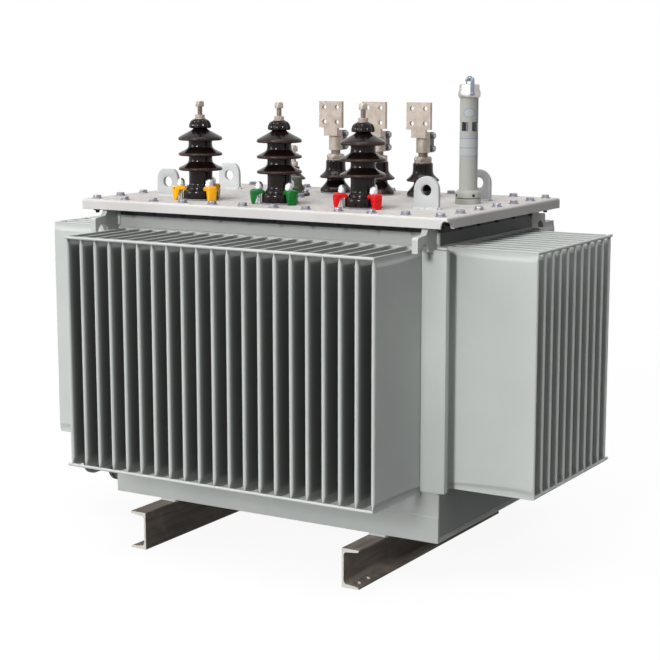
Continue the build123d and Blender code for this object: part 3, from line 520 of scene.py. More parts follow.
# Lifting hooks: flame-cut 16 mm plates welded upright to the band near its corners, each
# with a nose turned down round the gap for a sling. Fillet welds run up both faces.
HOOK_EASE = 2.0
HOOK_X, HOOK_HALF, HOOK_SEAM = 480, 8, (845, 883)
for node in ("hooks_front", "hooks_back"):
    dress(node, tank_enamel, HOOK_EASE)
welds = Shape()
for side, front in CORNERS:
    for face in (-1, 1):
        seam = [(side * HOOK_X + face * HOOK_HALF, front * TANK_HALF_Y, z) for z in HOOK_SEAM]
        welds.bead(seam, 6.5, 80 + side + 2 * front + face)
welds.done("hook_welds", tank_enamel, "tank_paint")

# Cover seal: a flat frame of black oil-proof rubber squeezed between rim and cover, inside
# the row of bolts. Its edge bulges a little where it is pressed.


def mottled(name, light, dark, patch, skin, rough, relief, metal=0.0, gloss=0.5):
    """Two tones in patches (size, detail, edges) under a fine skin (size, detail); both roughen it."""
    made, place = new_finish(name)
    patches = cloud(place, *patch[:2])
    grain = cloud(place, *skin)
    lay(place, {"Base Color": patches.over(*patch[2:]).tint(colour(*light), colour(*dark)), "Metallic": metal,
                "Roughness": rough[0] + rough[1] * patches + rough[2] * grain, "Specular IOR Level": gloss,
                "Normal": bumps(place, grain, *relief)})
    return made


rubber = mottled("seal_rubber", (36, 36, 38), (58, 58, 60), (25, 4, 0.4, 0.75), (1.5, 2), (0.62, 0.2, 0),
                 (0.2, 0.5))
dress("cover_gasket", rubber, 1.5)

# Cover: one 8 mm plate, its four edges bent down as a skirt with an arch cut through the
# front right-hand corner, sprayed a warmer, lighter grey than the tank.
# A bead runs round the arch.
COVER_TOP, COVER_PLATE, COVER_BEND = 915, 8, 6
COVER_X, COVER_Y, SKIRT_LOW = 545, 331, 888
ARCH_HALF, ARCH_HEIGHT, ARCH_SHIFT, ARCH_SIDE, ARCH_BEAD = 13.3, 21, -4.9, 4, 2.8
SKIRT_CUT, SKIRT_EASE, CORNER_REACH = 1.2, 0.8, 40
cover_enamel = enamel("cover_enamel", (204, 202, 200), (196, 193, 191), (176, 158, 146), 0.48)


def arch_edge():
    """The edge of the arch: along the front's foot, round the corner and along the right-hand side's."""
    points = []
    for turn in [pi * k / 16 for k in range(17)]:
        along = ARCH_SHIFT - ARCH_HALF * cos(turn)
        points.append((COVER_X + min(0.0, along), -COVER_Y + ARCH_SIDE * max(0.0, along),
                       SKIRT_LOW + ARCH_HEIGHT * sin(turn)))
    return points


def drawn_in(value, half, inset):
    """A distance along a side, pressed together near the corner by an inset."""
    past = max(0.0, abs(value) - half + CORNER_REACH)
    return copysign(abs(value) - past * inset / CORNER_REACH, value)


near_x, near_y = COVER_X - SKIRT_CUT, COVER_Y - SKIRT_CUT
foot = [(-near_x, -COVER_Y, SKIRT_LOW), (0, -COVER_Y, SKIRT_LOW)] + arch_edge()
round_back = ((COVER_X, 0), (COVER_X, near_y), (near_x, COVER_Y), (-near_x, COVER_Y), (-COVER_X, near_y),
              (-COVER_X, -near_y))
foot += [(x, y, SKIRT_LOW) for x, y in round_back]
inner_top, bend_low = COVER_TOP - COVER_PLATE, COVER_TOP - COVER_BEND
steps = [(COVER_PLATE, lambda z: inner_top), (COVER_PLATE, lambda z: min(z, inner_top - 0.5)),
         (SKIRT_EASE, lambda z: z), (0, lambda z: z + SKIRT_EASE), (0, lambda z: bend_low - 1.5)]
for turn in [pi * k / 8 for k in range(5)]:
    level = bend_low + COVER_BEND * sin(turn)
    steps.append((COVER_BEND * (1 - cos(turn)), lambda z, level=level: level))
steps.append((COVER_BEND + 1.5, lambda z: COVER_TOP))
rings = [[(drawn_in(x, COVER_X, inset), drawn_in(y, COVER_Y, inset), level(z)) for x, y, z in foot]
         for inset, level in steps]
cover = Shape()
cover.skin(rings)
cover.done("cover_plate", cover_enamel, "cover_paint", "cover")

arch = Shape()
edge = [Vector(point) for point in arch_edge()]
rings = []
for before, point, after in zip(edge[:1] + edge, edge, edge[1:] + edge[-1:]):
    run = (after - before).normalized()
    side = run.cross(Vector((1, -1, 0))).normalized()
    out = side.cross(run)
    rings.append([point + ARCH_BEAD * (out * cos(t) + side * sin(t)) for t in whole_turn(10)])
arch.skin(rings)
arch.done("cover_arch_edge", cover_enamel, "cover_paint")

# Cover bolts: zinc-plated hexagon bolts on washers round the edge of the cover, down
# through its plate and the rim, with nuts below painted near black as shade under the cover.
BOLT_ROW_Y, BOLT_ROW_X = 304, 516
LONG_BOLTS, LONG_BOLT_PITCH = 12, 93.6
END_BOLT_Y = (-202.7, -101.3, 0.0, 101.3, 202.7)
BOLT_FLATS, BOLT_WASHER = 19, 2.2
zinc = mottled("zinc_plate", (158, 157, 165), (132, 131, 140), (6, 3, 0.35, 0.7), (1.2, 2), (0.26, 0.22, 0.1),
               (0.15, 0.4), metal=0.8)
# The nuts are painted near black as the shade under the cover's edge.
nut_shade_paint = enamel("nut_shade_paint", (50, 50, 53), (42, 42, 44), (82, 80, 77), 0.5)


def hexagon(shape, flats, low, high, place, steps=36):
    """A hexagon nut or head: six flats with the corners turned off at both ends."""
    half = flats / 2
    bite = 0.14 * flats / 2

    def ring(level, limit):
        points = []
        for turn in whole_turn(steps):
            off = (turn + pi / 6) % (pi / 3) - pi / 6
            points.append(spot(min(half / cos(off), limit * half), turn, level))
        return points
    shape.skin([ring(low, 1.03), ring(low + bite, 1.2), ring(high - bite, 1.2), ring(high, 1.0)], place=place)


def thread(shape, radius, low, high, pitch, place, steps=20):
    """A screwed stud: a ridge for every pitch, with a bevelled tip."""
    root = radius * 0.88
    profile = [(root, low)]
    level = low
    while level + pitch < high - pitch:
        profile += [(root, level + 0.1 * pitch), (radius, level + 0.5 * pitch), (root, level + 0.9 * pitch)]
        level += pitch
    profile += [(radius, high - pitch), (root * 0.85, high)]
    shape.turned(profile, place, steps)


bolts = Shape()
nuts = Shape()
places = [((i - (LONG_BOLTS - 1) / 2) * LONG_BOLT_PITCH, front * BOLT_ROW_Y)
          for i in range(LONG_BOLTS) for front in (-1, 1)]
places += [(side * BOLT_ROW_X, y) for y in END_BOLT_Y for side in (-1, 1)]
spin = random.Random(7)
for x, y in places:
    turn = rotated(spin.uniform(0, 60))
    top = moved(x, y, COVER_TOP) @ turn
    under = moved(x, y, RIM_UNDER) @ turn
    washer = [(5, 0), (12.8, 0), (13.2, 0.4), (13.2, 1.8), (12.8, BOLT_WASHER), (5, BOLT_WASHER)]
    bolts.turned(washer, top, 28)
    hexagon(bolts, BOLT_FLATS, BOLT_WASHER, 9.0, top)
    nuts.turned([(5, 0), (12.8, 0), (12.8, -2), (5, -2)], under, 24)
    hexagon(nuts, BOLT_FLATS, -10, -2, under)
    thread(nuts, 5.6, -16, -9, 1.75, under, 16)
bolts.done("cover_bolts", zinc, "cap_metal")
nuts.done("cover_nuts", nut_shade_paint, "cap_metal")

# Lifting lugs: four upright plates with one hole, the right-hand pair with round heads and
# the left-hand pair lower with blunter ones, all fillet-welded round their feet.
# The cover and the core under it are lifted by them.
LUG_EASE, LUG_HOLE = 1.2, 14
HEADS = {1: (0, 34.5, 34.5, 47), -1: (15.5, 19, 34, 39)}
LUG_X, LUG_Y = 395, 146
LUG_HALF_WIDTH, LUG_HALF = 34.5, 5.5
lug_enamel = enamel("lug_enamel", (186, 188, 188), (178, 181, 182), (190, 187, 182), 0.3)


def lug(shape, flat, across, up, shoulder, place):
    """An upright plate round one hole: straight to the shoulder, then an arch with a flat on top."""
    rounds = [pi * k / 24 for k in range(25)]
    outline = [(LUG_HALF_WIDTH, shoulder * k / 5) for k in range(5)]
    outline += [(flat * (0 if k == 12 else 1 if k < 12 else -1) + across * cos(t),
                 shoulder + up * sin(t)) for k, t in enumerate(rounds)]
    outline += [(-LUG_HALF_WIDTH, shoulder * k / 5) for k in range(4, -1, -1)]
    outline += [(LUG_HALF_WIDTH * k / 4, 0) for k in range(-3, 4)]
    bore = []
    for x, z in outline:
        away = hypot(x, z - shoulder)
        bore.append((LUG_HOLE * x / away, shoulder + LUG_HOLE * (z - shoulder) / away))
    rings = [[(x, y, z) for x, z in line]
             for y, line in ((-LUG_HALF, outline), (LUG_HALF, outline), (LUG_HALF, bore), (-LUG_HALF, bore))]
    shape.eased(shape.skin(rings, place=place, capped=False), LUG_EASE)


lugs = Shape()
welds = Shape()
for side, front in CORNERS:
    lug(lugs, *HEADS[side], moved(side * LUG_X, front * LUG_Y, COVER_TOP))
    seam = [(side * LUG_X + a * LUG_HALF_WIDTH, front * LUG_Y + b * LUG_HALF, COVER_TOP)
            for a, b in ((-1, -1), (1, -1), (1, 1), (-1, 1), (-1, -1))]
    welds.bead(seam, 6.0, 90 + side + 2 * front)
lugs.done("lifting_lugs", lug_enamel, "lug_paint", "cover_lugs")
welds.done("lug_welds", lug_enamel, "lug_paint")

# High-voltage bushings: three slip-cast insulators in brown glazed porcelain on grey cork
# and rubber rings. Three sheds droop round each core; glaze pools thick and near black
# on the body and thins to brown along the rims.
HV_X, HV_Y = (-253, -6, 241), -195
SIDES = ("left", "middle", "right")
HV_SHEDS = (83, 121.5, 161.5)


def glazed(points, rounds=2):
    """Rounds every corner of a profile, as thick glaze does."""
    for _ in range(rounds):
        cut = [points[0]]
        for (a, b), (c, d) in zip(points, points[1:]):
            cut += [(0.75 * a + 0.25 * c, 0.75 * b + 0.25 * d), (0.25 * a + 0.75 * c, 0.25 * b + 0.75 * d)]
        points = cut + [points[-1]]
    return points


def rim_marks(profile, rim):
    """1 at the outermost edge of a shed, 0 a few millimetres inside it."""
    return [max(0.0, 1 - (rim - r) / 4) for r, z in profile]


glaze, place = new_finish("brown_glaze")
rim = marked(place)
pools = cloud(place, 30, 3)
pins = cloud(place, 2.5, 2)
brown = pools.over(0.35, 0.7).tint(colour(20, 13, 13), colour(31, 21, 20))
brown = (0.6 * rim * pins.over(0.3, 0.6)).tint(brown, colour(74, 50, 42))
lay(place, {"Base Color": brown, "Roughness": 0.09 + 0.1 * pools + 0.15 * rim, "Specular IOR Level": 0.2,
            "Normal": bumps(place, pools + 0.05 * pins, 1.2, 0.4)})
ring_rubber = mottled("ring_rubber", (118, 120, 126), (96, 97, 102), (8, 4, 0.35, 0.7), (8, 4),
                      (0.55, 0.2, 0), (0.3, 0.4))
dress("bushing_gaskets", ring_rubber, 0.8)

foot = [(12, 4), (44, 4), (46.2, 4.2), (46.5, 7), (46.5, 14), (46.3, 21), (45, 25), (40, 26), (37, 26.4),
        (36.4, 28), (36.4, 31), (35.4, 34), (32.8, 37.5), (31.2, 41), (31, 48)]
body = []
for z in HV_SHEDS:
    body += [(31, z - 14), (31.5, z - 6.5), (35, z - 3.6), (45, z - 3.8), (52, z - 5), (56.5, z - 5.6),
             (58, z - 2.5), (57.8, z + 0.6)]
    if z != HV_SHEDS[-1]:
        body += [(54, z + 3.4), (44, z + 8), (36, z + 12.5), (32, z + 17)]
crown = [(56, 165), (50, 168.6), (42, 172.8), (33, 177.4), (25, 181.8), (19, 185.4), (17.5, 188.5)]
hv_profile = glazed(foot + body + crown)
for side, x in zip(SIDES, HV_X):
    bushing = Shape()
    bushing.turned(hv_profile, moved(x, HV_Y, COVER_TOP), 72, rim_marks(hv_profile, 57.5))
    bushing.done("hv_insulator_" + side, glaze, "porcelain", "hv_bushing_" + side, crease=60)

# High-voltage caps: lobed ceramic caps, glazed like the insulators, that close the top of
# each one and are held down by the stud's lock nut.
CAP_LOBES, CAP_BITE = 8, 4.2
cap_profile = glazed([(14, 187.5), (23, 187.3), (28, 188), (29.6, 190.5), (29.2, 196), (27.2, 202),
                      (23.5, 207.6), (17, 211.4), (9, 211.9)])
rings = []
for r, z in cap_profile:
    bite = CAP_BITE * max(0.0, min(1.0, (r - 17) / 9)) * min(1.0, (cap_profile[-1][1] - z) / 8)
    rings.append([spot(r - bite * (0.5 + 0.5 * cos(CAP_LOBES * t)) ** 1.6, t, z) for t in whole_turn(96)])
caps = Shape()
for x in HV_X:
    caps.skin(rings, place=moved(x, HV_Y, COVER_TOP))
caps.done("hv_cap_rings", glaze, "porcelain", "hv_caps", crease=60)

# High-voltage studs: threaded tinned-brass rods with a washer and a lock nut on the cap and
# a slotted clamping nut at the top for the line. Tin dulls unevenly to champagne brown.


def tinned_metal(name, shade_from=9999):
    """Tinned brass, with painted shade of dull dark grey, less metallic, behind a line across."""
    made, place = new_finish(name)
    bloom = cloud(place, 22, 4)
    scuff = cloud(place, 1.6, 3)
    stain = cloud(place, 70, 2)
    tin = bloom.over(0.32, 0.7).tint(colour(176, 166, 156), colour(158, 146, 135))
    tin = (0.5 * stain.over(0.5, 0.7)).tint(tin, colour(132, 116, 104))
    shaded_back = measured(place, "Y").over((shade_from - 6) * MM, shade_from * MM)
    lay(place, {"Base Color": shaded_back.tint(tin, colour(92, 90, 88)), "Metallic": 0.6 - 0.3 * shaded_back,
                "Roughness": 0.32 + 0.2 * bloom + 0.1 * scuff, "Normal": bumps(place, scuff, 0.12, 0.4)})
    return made


tinned = tinned_metal("tinned_brass")
studs = Shape()
for x in HV_X:
    top = moved(x, HV_Y, COVER_TOP)
    studs.turned([(6, 211.5), (14.5, 211.5), (15, 212.1), (15, 213.1), (14.5, 213.7), (6, 213.7)], top, 32)
    hexagon(studs, 22, 213.7, 222.7, top @ rotated(10))
    thread(studs, 6.8, 222.5, 253, 1.2, top, 24)
    hexagon(studs, 20, 243, 256, top @ rotated(25))
    studs.turned([(4, 255.5), (8.6, 255.5), (9, 255.9), (8.6, 257.5), (5, 258)], top, 28)
studs.done("hv_terminal_studs", tinned, "terminal_metal", "hv_studs")

# Claws: cast arms that press each insulator's foot onto the cover, three to a bushing, in
# the colour of its phase. Each bridges from the foot to a tapered outer leg, and a stud
# with a chromed cap nut pulls it down between the two.
CLAW_TURNS, CLAW_STUD, CLAW_HALF = (90, 210, 330), 52, 11
CLAW_OUTLINE = [(37.2, 25.6), (46, 25.4), (48, 26.8), (53, 27.2), (55.6, 25), (57, 20), (60.4, 10), (64.3, 0),
                (71, 0), (73.2, 10), (74.8, 21), (75.4, 28), (75, 34), (73, 37), (68, 38), (58, 38.2),
                (49, 37.8), (43, 36), (38.6, 33), (37, 30)]
PHASES = (("yellow", (252, 182, 14), (246, 166, 8)), ("green", (4, 116, 40), (2, 96, 32)),
          ("red", (220, 9, 18), (198, 5, 13)))
chrome = mottled("satin_chrome", (222, 224, 228), (204, 207, 212), (5, 3, 0.3, 0.7), (5, 3), (0.24, 0.14, 0),
                 (0.1, 0.3), metal=0.75)
dome = [(9.7 * cos(t), 47.6 + 9.7 * sin(t)) for t in whole_turn(32)[:8]]
pins = Shape()
nuts = Shape()
for side, x, (phase, paint, deep) in zip(SIDES, HV_X, PHASES):
    gloss = mottled(phase + "_enamel", paint, deep, (18, 3, 0.35, 0.7), (3, 2), (0.22, 0, 0.12), (0.25, 0.4),
                    gloss=0.3)
    arms = Shape()
    for turn in CLAW_TURNS:
        foot = moved(x, HV_Y, COVER_TOP) @ rotated(turn)
        arms.plate(CLAW_OUTLINE, -CLAW_HALF, CLAW_HALF, foot @ UPRIGHT, 2.0)
        pin = foot @ UPRIGHT @ moved(69.6, 31.2, 0)
        pins.turned([(0.5, -11.3), (2.0, -11.2), (2.0, 11.2), (0.5, 11.3)], pin, 16)
        seat = foot @ moved(CLAW_STUD, 0, 0)
        hexagon(nuts, 19, 38, 45, seat)
        nuts.turned([(9.7, 44.6)] + dome + [(0.8, 57.3)], seat, 28)
        thread(nuts, 4.2, 0, 39, 1.5, seat, 16)
    arms.done("hv_clamp_arms_" + side, gloss, "claw_" + phase, "hv_claws_" + side, crease=50)
pins.done("claw_pins", rubber, "seal_rubber")
nuts.done("claw_cap_nuts", chrome, "cap_metal")

# Low-voltage bushings: shorter brown insulators with a flared foot, a waist and one drooping
# shed; three for the phases and a smaller one for the neutral.
LV_X, NEUTRAL_X, LV_Y = (-61.5, 75, 211.5), -198, 179
phase_profile = glazed([(14, 4), (41, 4), (43, 4.6), (43.2, 9), (41.5, 13.5), (35, 20.5), (28, 28.5),
                        (24.4, 35), (24.4, 39.5), (28, 42), (36, 41.6), (41, 41), (44.2, 42.8), (44, 46.6),
                        (39.5, 50.6), (32.5, 56.5), (28.2, 63), (27.2, 70), (27, 80), (27, 88.5),
                        (25.5, 90.4), (16, 90.6)])
neutral_profile = glazed([(8, 4), (29, 4), (30.6, 4.6), (30.6, 9), (28, 13), (21, 20), (16, 26), (15, 30),
                          (18, 32.5), (26, 32), (30, 31.6), (32.2, 33.6), (31.6, 36.8), (26, 41), (18.5, 48),
                          (15.6, 55), (15.4, 62), (15.4, 66.5), (14, 68.3), (8, 68.5)])
for side, x in zip(SIDES + ("neutral",), LV_X + (NEUTRAL_X,)):
    profile, edge, steps = (neutral_profile, 31.4, 56) if side == "neutral" else (phase_profile, 43.6, 64)
    bushing = Shape()
    bushing.turned(profile, moved(x, LV_Y, COVER_TOP), steps, rim_marks(profile, edge))
    bushing.done("lv_insulator_" + side, glaze, "porcelain", "lv_bushing_" + side, crease=60)

# Low-voltage studs: thick tinned rods with a wide nut on the porcelain; the neutral's is
# slim, with one nut to seat it and another at its top for the cable.
studs = Shape()
for x in LV_X:
    top = moved(x, LV_Y, COVER_TOP)
    studs.turned([(14, 90), (24, 90), (24.6, 90.6), (24.6, 92.4), (24, 93), (14, 93)], top, 40)
    hexagon(studs, 44, 93, 107, top @ rotated(18), 48)
    thread(studs, 13.9, 106, 168, 2.5, top, 32)
studs.done("lv_phase_studs", tinned, "terminal_metal", "lv_studs")
studs = Shape()
top = moved(NEUTRAL_X, LV_Y, COVER_TOP)
hexagon(studs, 19, 69, 82, top)
thread(studs, 6, 80, 128, 1.75, top, 20)
hexagon(studs, 19, 112, 125, top @ rotated(20))
studs.turned([(5, 110), (10.5, 110), (10.8, 111), (10.5, 112), (5, 112)], top, 28)
studs.done("lv_neutral_stud", tinned, "terminal_metal", "lv_stud_neutral")

# Flag terminals: tinned copper-alloy castings, a four-hole pad on a split sleeve. Two
# screws through the ears on the sleeve's back nip it onto the stud; ears and back are painted dark as shade.
FLAG_EASE = 0.9
EAR_TURN, EAR_OUT, EAR_LEVELS = 90, 29, (128, 162)
EAR_WASHER = [(4, 13), (9.2, 13), (9.4, 13.6), (9.2, 14.6), (4, 14.6)]
# Behind this line the terminals are painted dark grey as shade.
flag_metal = tinned_metal("flag_casting", LV_Y + 18)
for side in SIDES:
    dress("lv_flag_" + side, flag_metal, FLAG_EASE)
screws = Shape()
for x in LV_X:
    for z in EAR_LEVELS:
        seat = moved(x, LV_Y, COVER_TOP + z) @ rotated(EAR_TURN) @ moved(EAR_OUT, 0, 0) @ UPRIGHT
        for face in (1, -1):
            screws.turned([(r, face * level) for r, level in EAR_WASHER], seat, 24)
        hexagon(screws, 14, 14.6, 20.6, seat)
        hexagon(screws, 14, -21.6, -14.6, seat)
        thread(screws, 4.4, -26, -20, 1.3, seat, 16)
screws.done("flag_clamp_screws", zinc, "cap_metal")

# Gauge tube: the oil gauge and relief valve, a grey-sprayed tube on two clamped rings with a
# seal between them and grub screws round the upper one. Five sight glasses ring the tube,
# and two bare film labels are stuck to its front.
GAUGE_X, GAUGE_Y, TUBE, TUBE_TOP = 410, 52, 23.5, 270
GLASSES, GLASS_TURN, GLASS_HALF = 5, radians(-92), radians(24)
GLASS_LOW, GLASS_HIGH, GLASS_SUNK = 184.5, 208.5, 2.2
LABEL_TURN, LABEL_MIDDLE = -62, 231.5
LYING = rotated(90, "Y")
gauge_place = moved(GAUGE_X, GAUGE_Y, COVER_TOP)
gauge_enamel = enamel("gauge_enamel", (166, 167, 160), (158, 159, 153), (172, 170, 163), 0.3)
rings = Shape()
rings.turned([(10, 0), (32, 0), (33, 0.8), (33, 12.8), (32, 13.8), (10, 13.8)], gauge_place, 72)
rings.turned([(10, 15.2), (32, 15.2), (33, 16), (33, 28.4), (32.6, 29.4), (27.8, 34.8), (26.8, 35.2),
              (10, 35.2)], gauge_place, 72)
rings.done("gauge_rings", gauge_enamel, "gauge_grey", "gauge_base")
seal = Shape()
seal.turned([(10, 13.6), (32.2, 13.6), (32.2, 15.4), (10, 15.4)], gauge_place, 64)
for turn in (-39, 51, 141, 231):
    screw = gauge_place @ rotated(turn) @ moved(0, 0, 22) @ LYING
    seal.turned([(0.6, 28), (4.0, 28), (4.0, 33.1), (0.6, 33.4)], screw, 20)
seal.done("gauge_seal", rubber, "seal_rubber")

glass_middles = [GLASS_TURN + turn for turn in whole_turn(GLASSES)]
glass_turns = []
for middle in glass_middles:
    for part in (-1.0, -0.94, -0.6, 0.0, 0.6, 0.94, 1.0):
        glass_turns.append((middle + part * GLASS_HALF, abs(part) < 0.97))
    for part in (0.2, 0.4, 0.6, 0.8):
        glass_turns.append((middle + GLASS_HALF + part * (2 * pi / GLASSES - 2 * GLASS_HALF), False))
levels = ((34.8, 0), (110, 0), (GLASS_LOW, 0), (GLASS_LOW + 0.4, GLASS_SUNK), (GLASS_HIGH - 0.4, GLASS_SUNK),
          (GLASS_HIGH, 0), (TUBE_TOP + 0.5, 0))
tube = Shape()
tube.skin([[spot(TUBE - sunk * inside, t, z) for t, inside in glass_turns] for z, sunk in levels],
          place=gauge_place)
tube.done("gauge_barrel", gauge_enamel, "gauge_grey", "gauge_tube", crease=40)

sight, place = new_finish("sight_glass")
off_axis = place.node("VectorMath", {"operation": "SUBTRACT"}, {0: place, 1: (GAUGE_X * MM, GAUGE_Y * MM, 0)})
bars = cloud(stretched(off_axis, 1, 1, 0.02), 5, 1)
lay(place, {"Base Color": bars.over(0.6, 0.66).tint(colour(30, 25, 42), colour(120, 112, 112)),
            "Roughness": 0.06 + 0.06 * bars, "Normal": bumps(place, bars, 0.2, 0.3)})
glasses = Shape()
for middle in glass_middles:
    turns = [middle + GLASS_HALF * 0.9 * k / 4 for k in range(-4, 5)]
    glasses.skin([arc(TUBE - 0.9, z, turns) + arc(TUBE - 3.0, z, turns[::-1])
                  for z in (GLASS_LOW + 1.2, GLASS_HIGH - 1.2)], place=gauge_place)
glasses.done("gauge_sight_glasses", sight, "gauge_grey")


def film(shape, proud, rows):
    """A thin film stuck round the tube's front: each row has a height and a half angle."""
    strip = []
    for z, half in rows:
        turns = [radians(LABEL_TURN + half * k / 10) for k in range(-10, 11)]
        strip.append(arc(TUBE + proud, z, turns) + arc(TUBE - 0.5, z, turns[::-1]))
    shape.skin(strip, place=gauge_place)


oval = [pi * k / 20 for k in range(-9, 10)]
labels = Shape()
film(labels, 0.15, [(120, 84), (168, 84)])
film(labels, 0.3, [(LABEL_MIDDLE + 10.2 * sin(a), 34 * cos(a)) for a in oval])
label_film = enamel("label_film", (174, 176, 173), (168, 171, 170), (178, 178, 175), 0.25)
labels.done("gauge_labels", label_film, "gauge_grey")
borders = Shape()
film(borders, 0.15, [(LABEL_MIDDLE + 11.4 * sin(a), 38 * cos(a)) for a in oval])
for z in (121.5, 142, 165.5):
    film(borders, 0.3, [(z, 82), (z + 1.6, 82)])
label_blue = enamel("label_blue", (92, 128, 180), (104, 138, 186), (130, 150, 180), 0.25)
borders.done("gauge_label_lines", label_blue, "gauge_grey")

# Relief cap: a pressed steel band rolled over the tube's end under a drum, with a bent strap
# on top and a hand lever riveted to hang in front of it.
LEVER_TURN, STRAP_TURN, STRAP_HALF = -50, 31, 9
steel, place = new_finish("pressed_steel")
brushed = cloud(stretched(place, 1, 1, 9), 9, 3)
smear = cloud(place, 20, 3)
lay(place, {"Base Color": smear.over(0.35, 0.7).tint(colour(206, 201, 198), colour(180, 174, 171)),
            "Metallic": 0.8, "Roughness": 0.38 + 0.12 * brushed + 0.1 * smear,
            "Normal": bumps(place, brushed, 0.12, 0.3)})
lever_zinc = mottled("lever_zinc", (138, 148, 164), (112, 122, 138), (7, 3, 0.35, 0.7), (7, 3),
                     (0.4, 0.15, 0), (0.1, 0.3), metal=0.4)
cap_place = gauge_place @ moved(0, 0, TUBE_TOP)
cap = Shape()
cap.turned(glazed([(12, -1.5), (24.6, -1.5), (26.8, -0.4), (28.3, 4), (28.6, 9), (28.2, 14.5), (26.8, 18.6),
                   (26, 20), (25.8, 22), (25.8, 29.5), (25, 32), (22.5, 33.2), (12, 33.2)], 1), cap_place, 72)
cap.done("relief_cap", steel, "cap_metal", "gauge_cap")
hand = Shape()
strap = cap_place @ rotated(STRAP_TURN) @ UPRIGHT
outer = [(STRAP_HALF, 31), (STRAP_HALF, 44), (7.4, 49.5), (4, 53), (0, 54.2), (-4, 53), (-7.4, 49.5),
         (-STRAP_HALF, 44), (-STRAP_HALF, 31)]
inner = [(-6.4, 31), (-6.4, 43), (-4.8, 47.6), (-2.4, 50.4), (0, 51.2), (2.4, 50.4), (4.8, 47.6), (6.4, 43),
         (6.4, 31)]
hand.plate(outer + inner, -4.5, 4.5, strap, 0.5)
lever = cap_place @ rotated(LEVER_TURN) @ UPRIGHT
hand.plate([(4, 48.4), (26, 49.6), (31, 47.6), (33.4, 42), (33.6, 5), (31.2, 5), (31, 41.6), (29.4, 45.6),
            (25.6, 47), (4, 45.8)], -5, 5, lever, 0.5)
rivet = cap_place @ rotated(LEVER_TURN) @ moved(0, 0, 10) @ LYING
hand.turned([(3, 25), (3, 33), (4.2, 33.4), (4.0, 35), (2.4, 36), (0.6, 36.3)], rivet, 20)
pin = cap_place @ rotated(STRAP_TURN) @ moved(0, 0, 43) @ LYING
hand.turned([(1, -10.6), (3, -10.6), (3, 10.6), (1, 10.6)], pin, 20)
hand.done("relief_lever", lever_zinc, "cap_metal")

# Tap changer: a cast flange and screwed cap over the switch spindle, in olive-grey enamel,
# held to the cover by four small bolts, with a grease nipple beside it.
TAP_X, TAP_Y, TAP_RIBS, TAP_SCREWS_OUT = -112, 36, 24, 36
NIPPLE_X, NIPPLE_Y = -61, -6
olive = enamel("tap_enamel", (86, 87, 79), (74, 75, 68), (112, 110, 102), 0.36)
tap = Shape()
tap_place = moved(TAP_X, TAP_Y, COVER_TOP)
flange = glazed([(10, 0), (45, 0), (46, 0.5), (46, 6.5), (45, 8), (30, 8.4), (26, 9.6), (25, 12),
                 (24.6, 16)], 1)
head = [(24.4, 20), (24, 21), (24, 46), (22, 50.4), (18, 52), (8, 52)]
tap.turned(flange + head, tap_place, 64)
for i in range(TAP_RIBS):
    rib = tap_place @ rotated(360 / TAP_RIBS * i)
    tap.plate([(23.4, -1.2), (25, -0.8), (25, 0.8), (23.4, 1.2)], 22, 46, rib, 0)
tap.done("tap_cap", olive, "tap_grey", "tap_changer")
screws = Shape()
for i in range(4):
    seat = tap_place @ rotated(45 + 90 * i) @ moved(TAP_SCREWS_OUT, 0, 8)
    screws.turned([(3, 0), (8, 0), (8.2, 0.5), (8, 1.6), (3, 1.6)], seat, 24)
    hexagon(screws, 13, 1.6, 7.1, seat)
seat = moved(NIPPLE_X, NIPPLE_Y, COVER_TOP)
screws.turned([(4, 0), (11, 0), (11.3, 0.6), (11, 2), (4, 2)], seat, 28)
hexagon(screws, 17, 2, 11, seat)
screws.done("tap_screws", zinc, "cap_metal")

# Drain valve: a cast-iron valve on a flanged stub low on the left-hand end, in black enamel,
# bolted through both flanges. Its outlet is blanked and a spoked handwheel stands on top.
FLANGE_X, VALVE_Y, VALVE_Z, FLANGE_BOLTS_OUT = -533, -200, 160, 35
black = mottled("black_enamel", (34, 35, 38), (52, 53, 56), (30, 3, 0.4, 0.75), (3, 4), (0.36, 0, 0.25),
                (0.5, 0.5))
dress("drain_valve", black, 1.0)
dress("drain_wheel", black, 0.8)
screws = Shape()
for i in range(4):
    corner = moved(FLANGE_X, VALVE_Y, VALVE_Z) @ rotated(45 + 90 * i, "X")
    seat = corner @ moved(0, 0, FLANGE_BOLTS_OUT) @ LYING
    for level in (11, -19):
        hexagon(screws, 13, level, level + 6, seat)
    thread(screws, 4, -23, -18, 1.3, seat, 14)
screws.done("valve_flange_bolts", zinc, "cap_metal")

# Studio: a white floor that keeps the object's shadow, white all round for the camera, and for
# the object a dim room, brighter on the left and above, with a key light from the front and
# softer ones from the left, the right and above.
FLOOR_HALF = 12.0
SHADOW_SHARE = 0.08
ROOM_DIM, ROOM_BRIGHT = 0.1, 0.28
ROOM_TOWARDS = (-0.6, 0.15, 0.7)
LIGHTS = {"key_light": (2.1, (0.04, -0.95, 0.31), 12), "left_light": (1.0, (-0.72, -0.65, 0.25), 25),
          "top_light": (1.9, (0.0, -0.25, 1.0), 45), "right_light": (0.22, (0.75, -0.3, 0.6), 30)}


def seen_by_camera(tree):
    """1 for rays straight from the camera, and by way of mirrored and clear surfaces."""
    kinds = ("Is Camera Ray", "Is Glossy Ray", "Is Transmission Ray")
    camera, mirrored, clear = [Wire(tree).node("LightPath", {}, {}, out=kind) for kind in kinds]
    return camera.maths("MAXIMUM", camera, camera.maths("MAXIMUM", mirrored, clear))


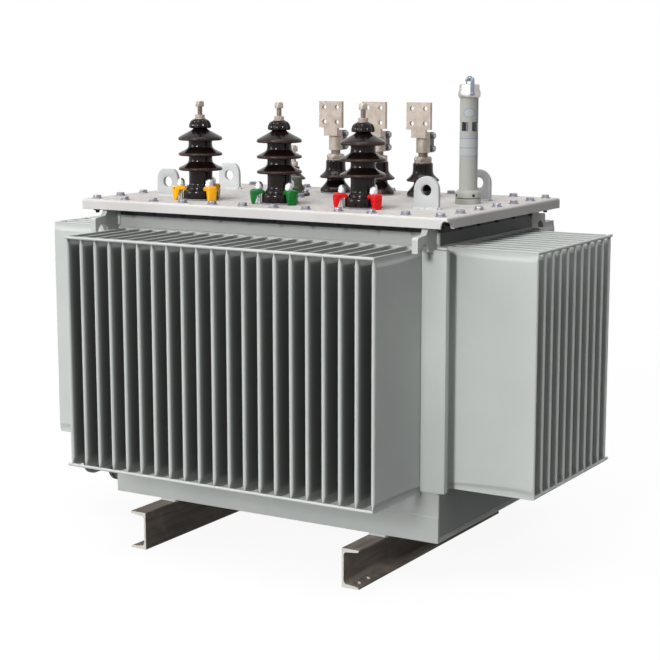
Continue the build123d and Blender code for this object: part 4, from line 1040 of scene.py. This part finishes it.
floor_mesh = bpy.data.meshes.new("studio_floor")
corners = [(x * FLOOR_HALF, y * FLOOR_HALF, 0) for x, y in ((-1, -1), (1, -1), (1, 1), (-1, 1))]
floor_mesh.from_pydata(corners, [], [(0, 1, 2, 3)])
floor = bpy.data.objects.new("studio_floor", floor_mesh)
scene.collection.objects.link(floor)
paper, place = new_finish("white_paper")
fibre = cloud(place, 40, 3)
direct = seen_by_camera(paper.node_tree)
sheet = direct.tint(colour(96, 96, 96), fibre.tint(colour(255, 255, 255), colour(250, 250, 250)))
matt = place.node("BsdfDiffuse", {}, {"Color": sheet})
glow = place.node("Emission", {}, {"Color": (1, 1, 1, 1), "Strength": 1.0})
both = place.node("MixShader", {}, {0: (1 - SHADOW_SHARE) * direct, 1: matt, 2: glow})
place.node("OutputMaterial", {}, {"Surface": both})
floor_mesh.materials.append(paper)

world = bpy.data.worlds.new("white_studio")
world.use_nodes = True
world.node_tree.nodes.clear()
start = Wire(world.node_tree)
ray = start.node("TexCoord", {}, {}, out="Generated")
towards = start.node("VectorMath", {"operation": "DOT_PRODUCT"}, {0: ray, 1: ROOM_TOWARDS}, out="Value")
dim, bright, white = [start.node("Background", {}, {"Color": (1, 1, 1, 1), "Strength": level})
                      for level in (ROOM_DIM, ROOM_BRIGHT, 1.0)]
room = start.node("MixShader", {}, {0: towards.over(-0.4, 0.8), 1: dim, 2: bright})
sky = start.node("MixShader", {}, {0: seen_by_camera(world.node_tree), 1: room, 2: white})
start.node("OutputWorld", {}, {"Surface": sky})
scene.world = world

for name, (power, source, spread) in LIGHTS.items():
    lamp = bpy.data.lights.new(name, "SUN")
    lamp.energy = power
    lamp.angle = radians(spread)
    light = bpy.data.objects.new(name, lamp)
    light.rotation_euler = Vector(source).to_track_quat("Z", "Y").to_euler()
    scene.collection.objects.link(light)

# Camera: stands right of the front and a little above the cover, as for a catalogue picture,
# with a long lens and no shift.
CAMERA_AT = (2.2726, -3.7256, 1.2813)
CAMERA_YAW, CAMERA_PITCH, CAMERA_ROLL = 0.5424, 0.1642, -0.0011
CAMERA_LENS = 89.23
view = bpy.data.cameras.new("catalogue_camera")
view.lens = CAMERA_LENS
view.sensor_width = 36
view.sensor_fit = "HORIZONTAL"
view.clip_end = 100
camera = bpy.data.objects.new("catalogue_camera", view)
aim = Matrix.Rotation(CAMERA_YAW, 4, "Z") @ Matrix.Rotation(pi / 2 - CAMERA_PITCH, 4, "X")
camera.matrix_world = moved(*CAMERA_AT) @ aim @ Matrix.Rotation(CAMERA_ROLL, 4, "Z")
scene.collection.objects.link(camera)
scene.camera = camera
scene.view_settings.view_transform = "Standard"
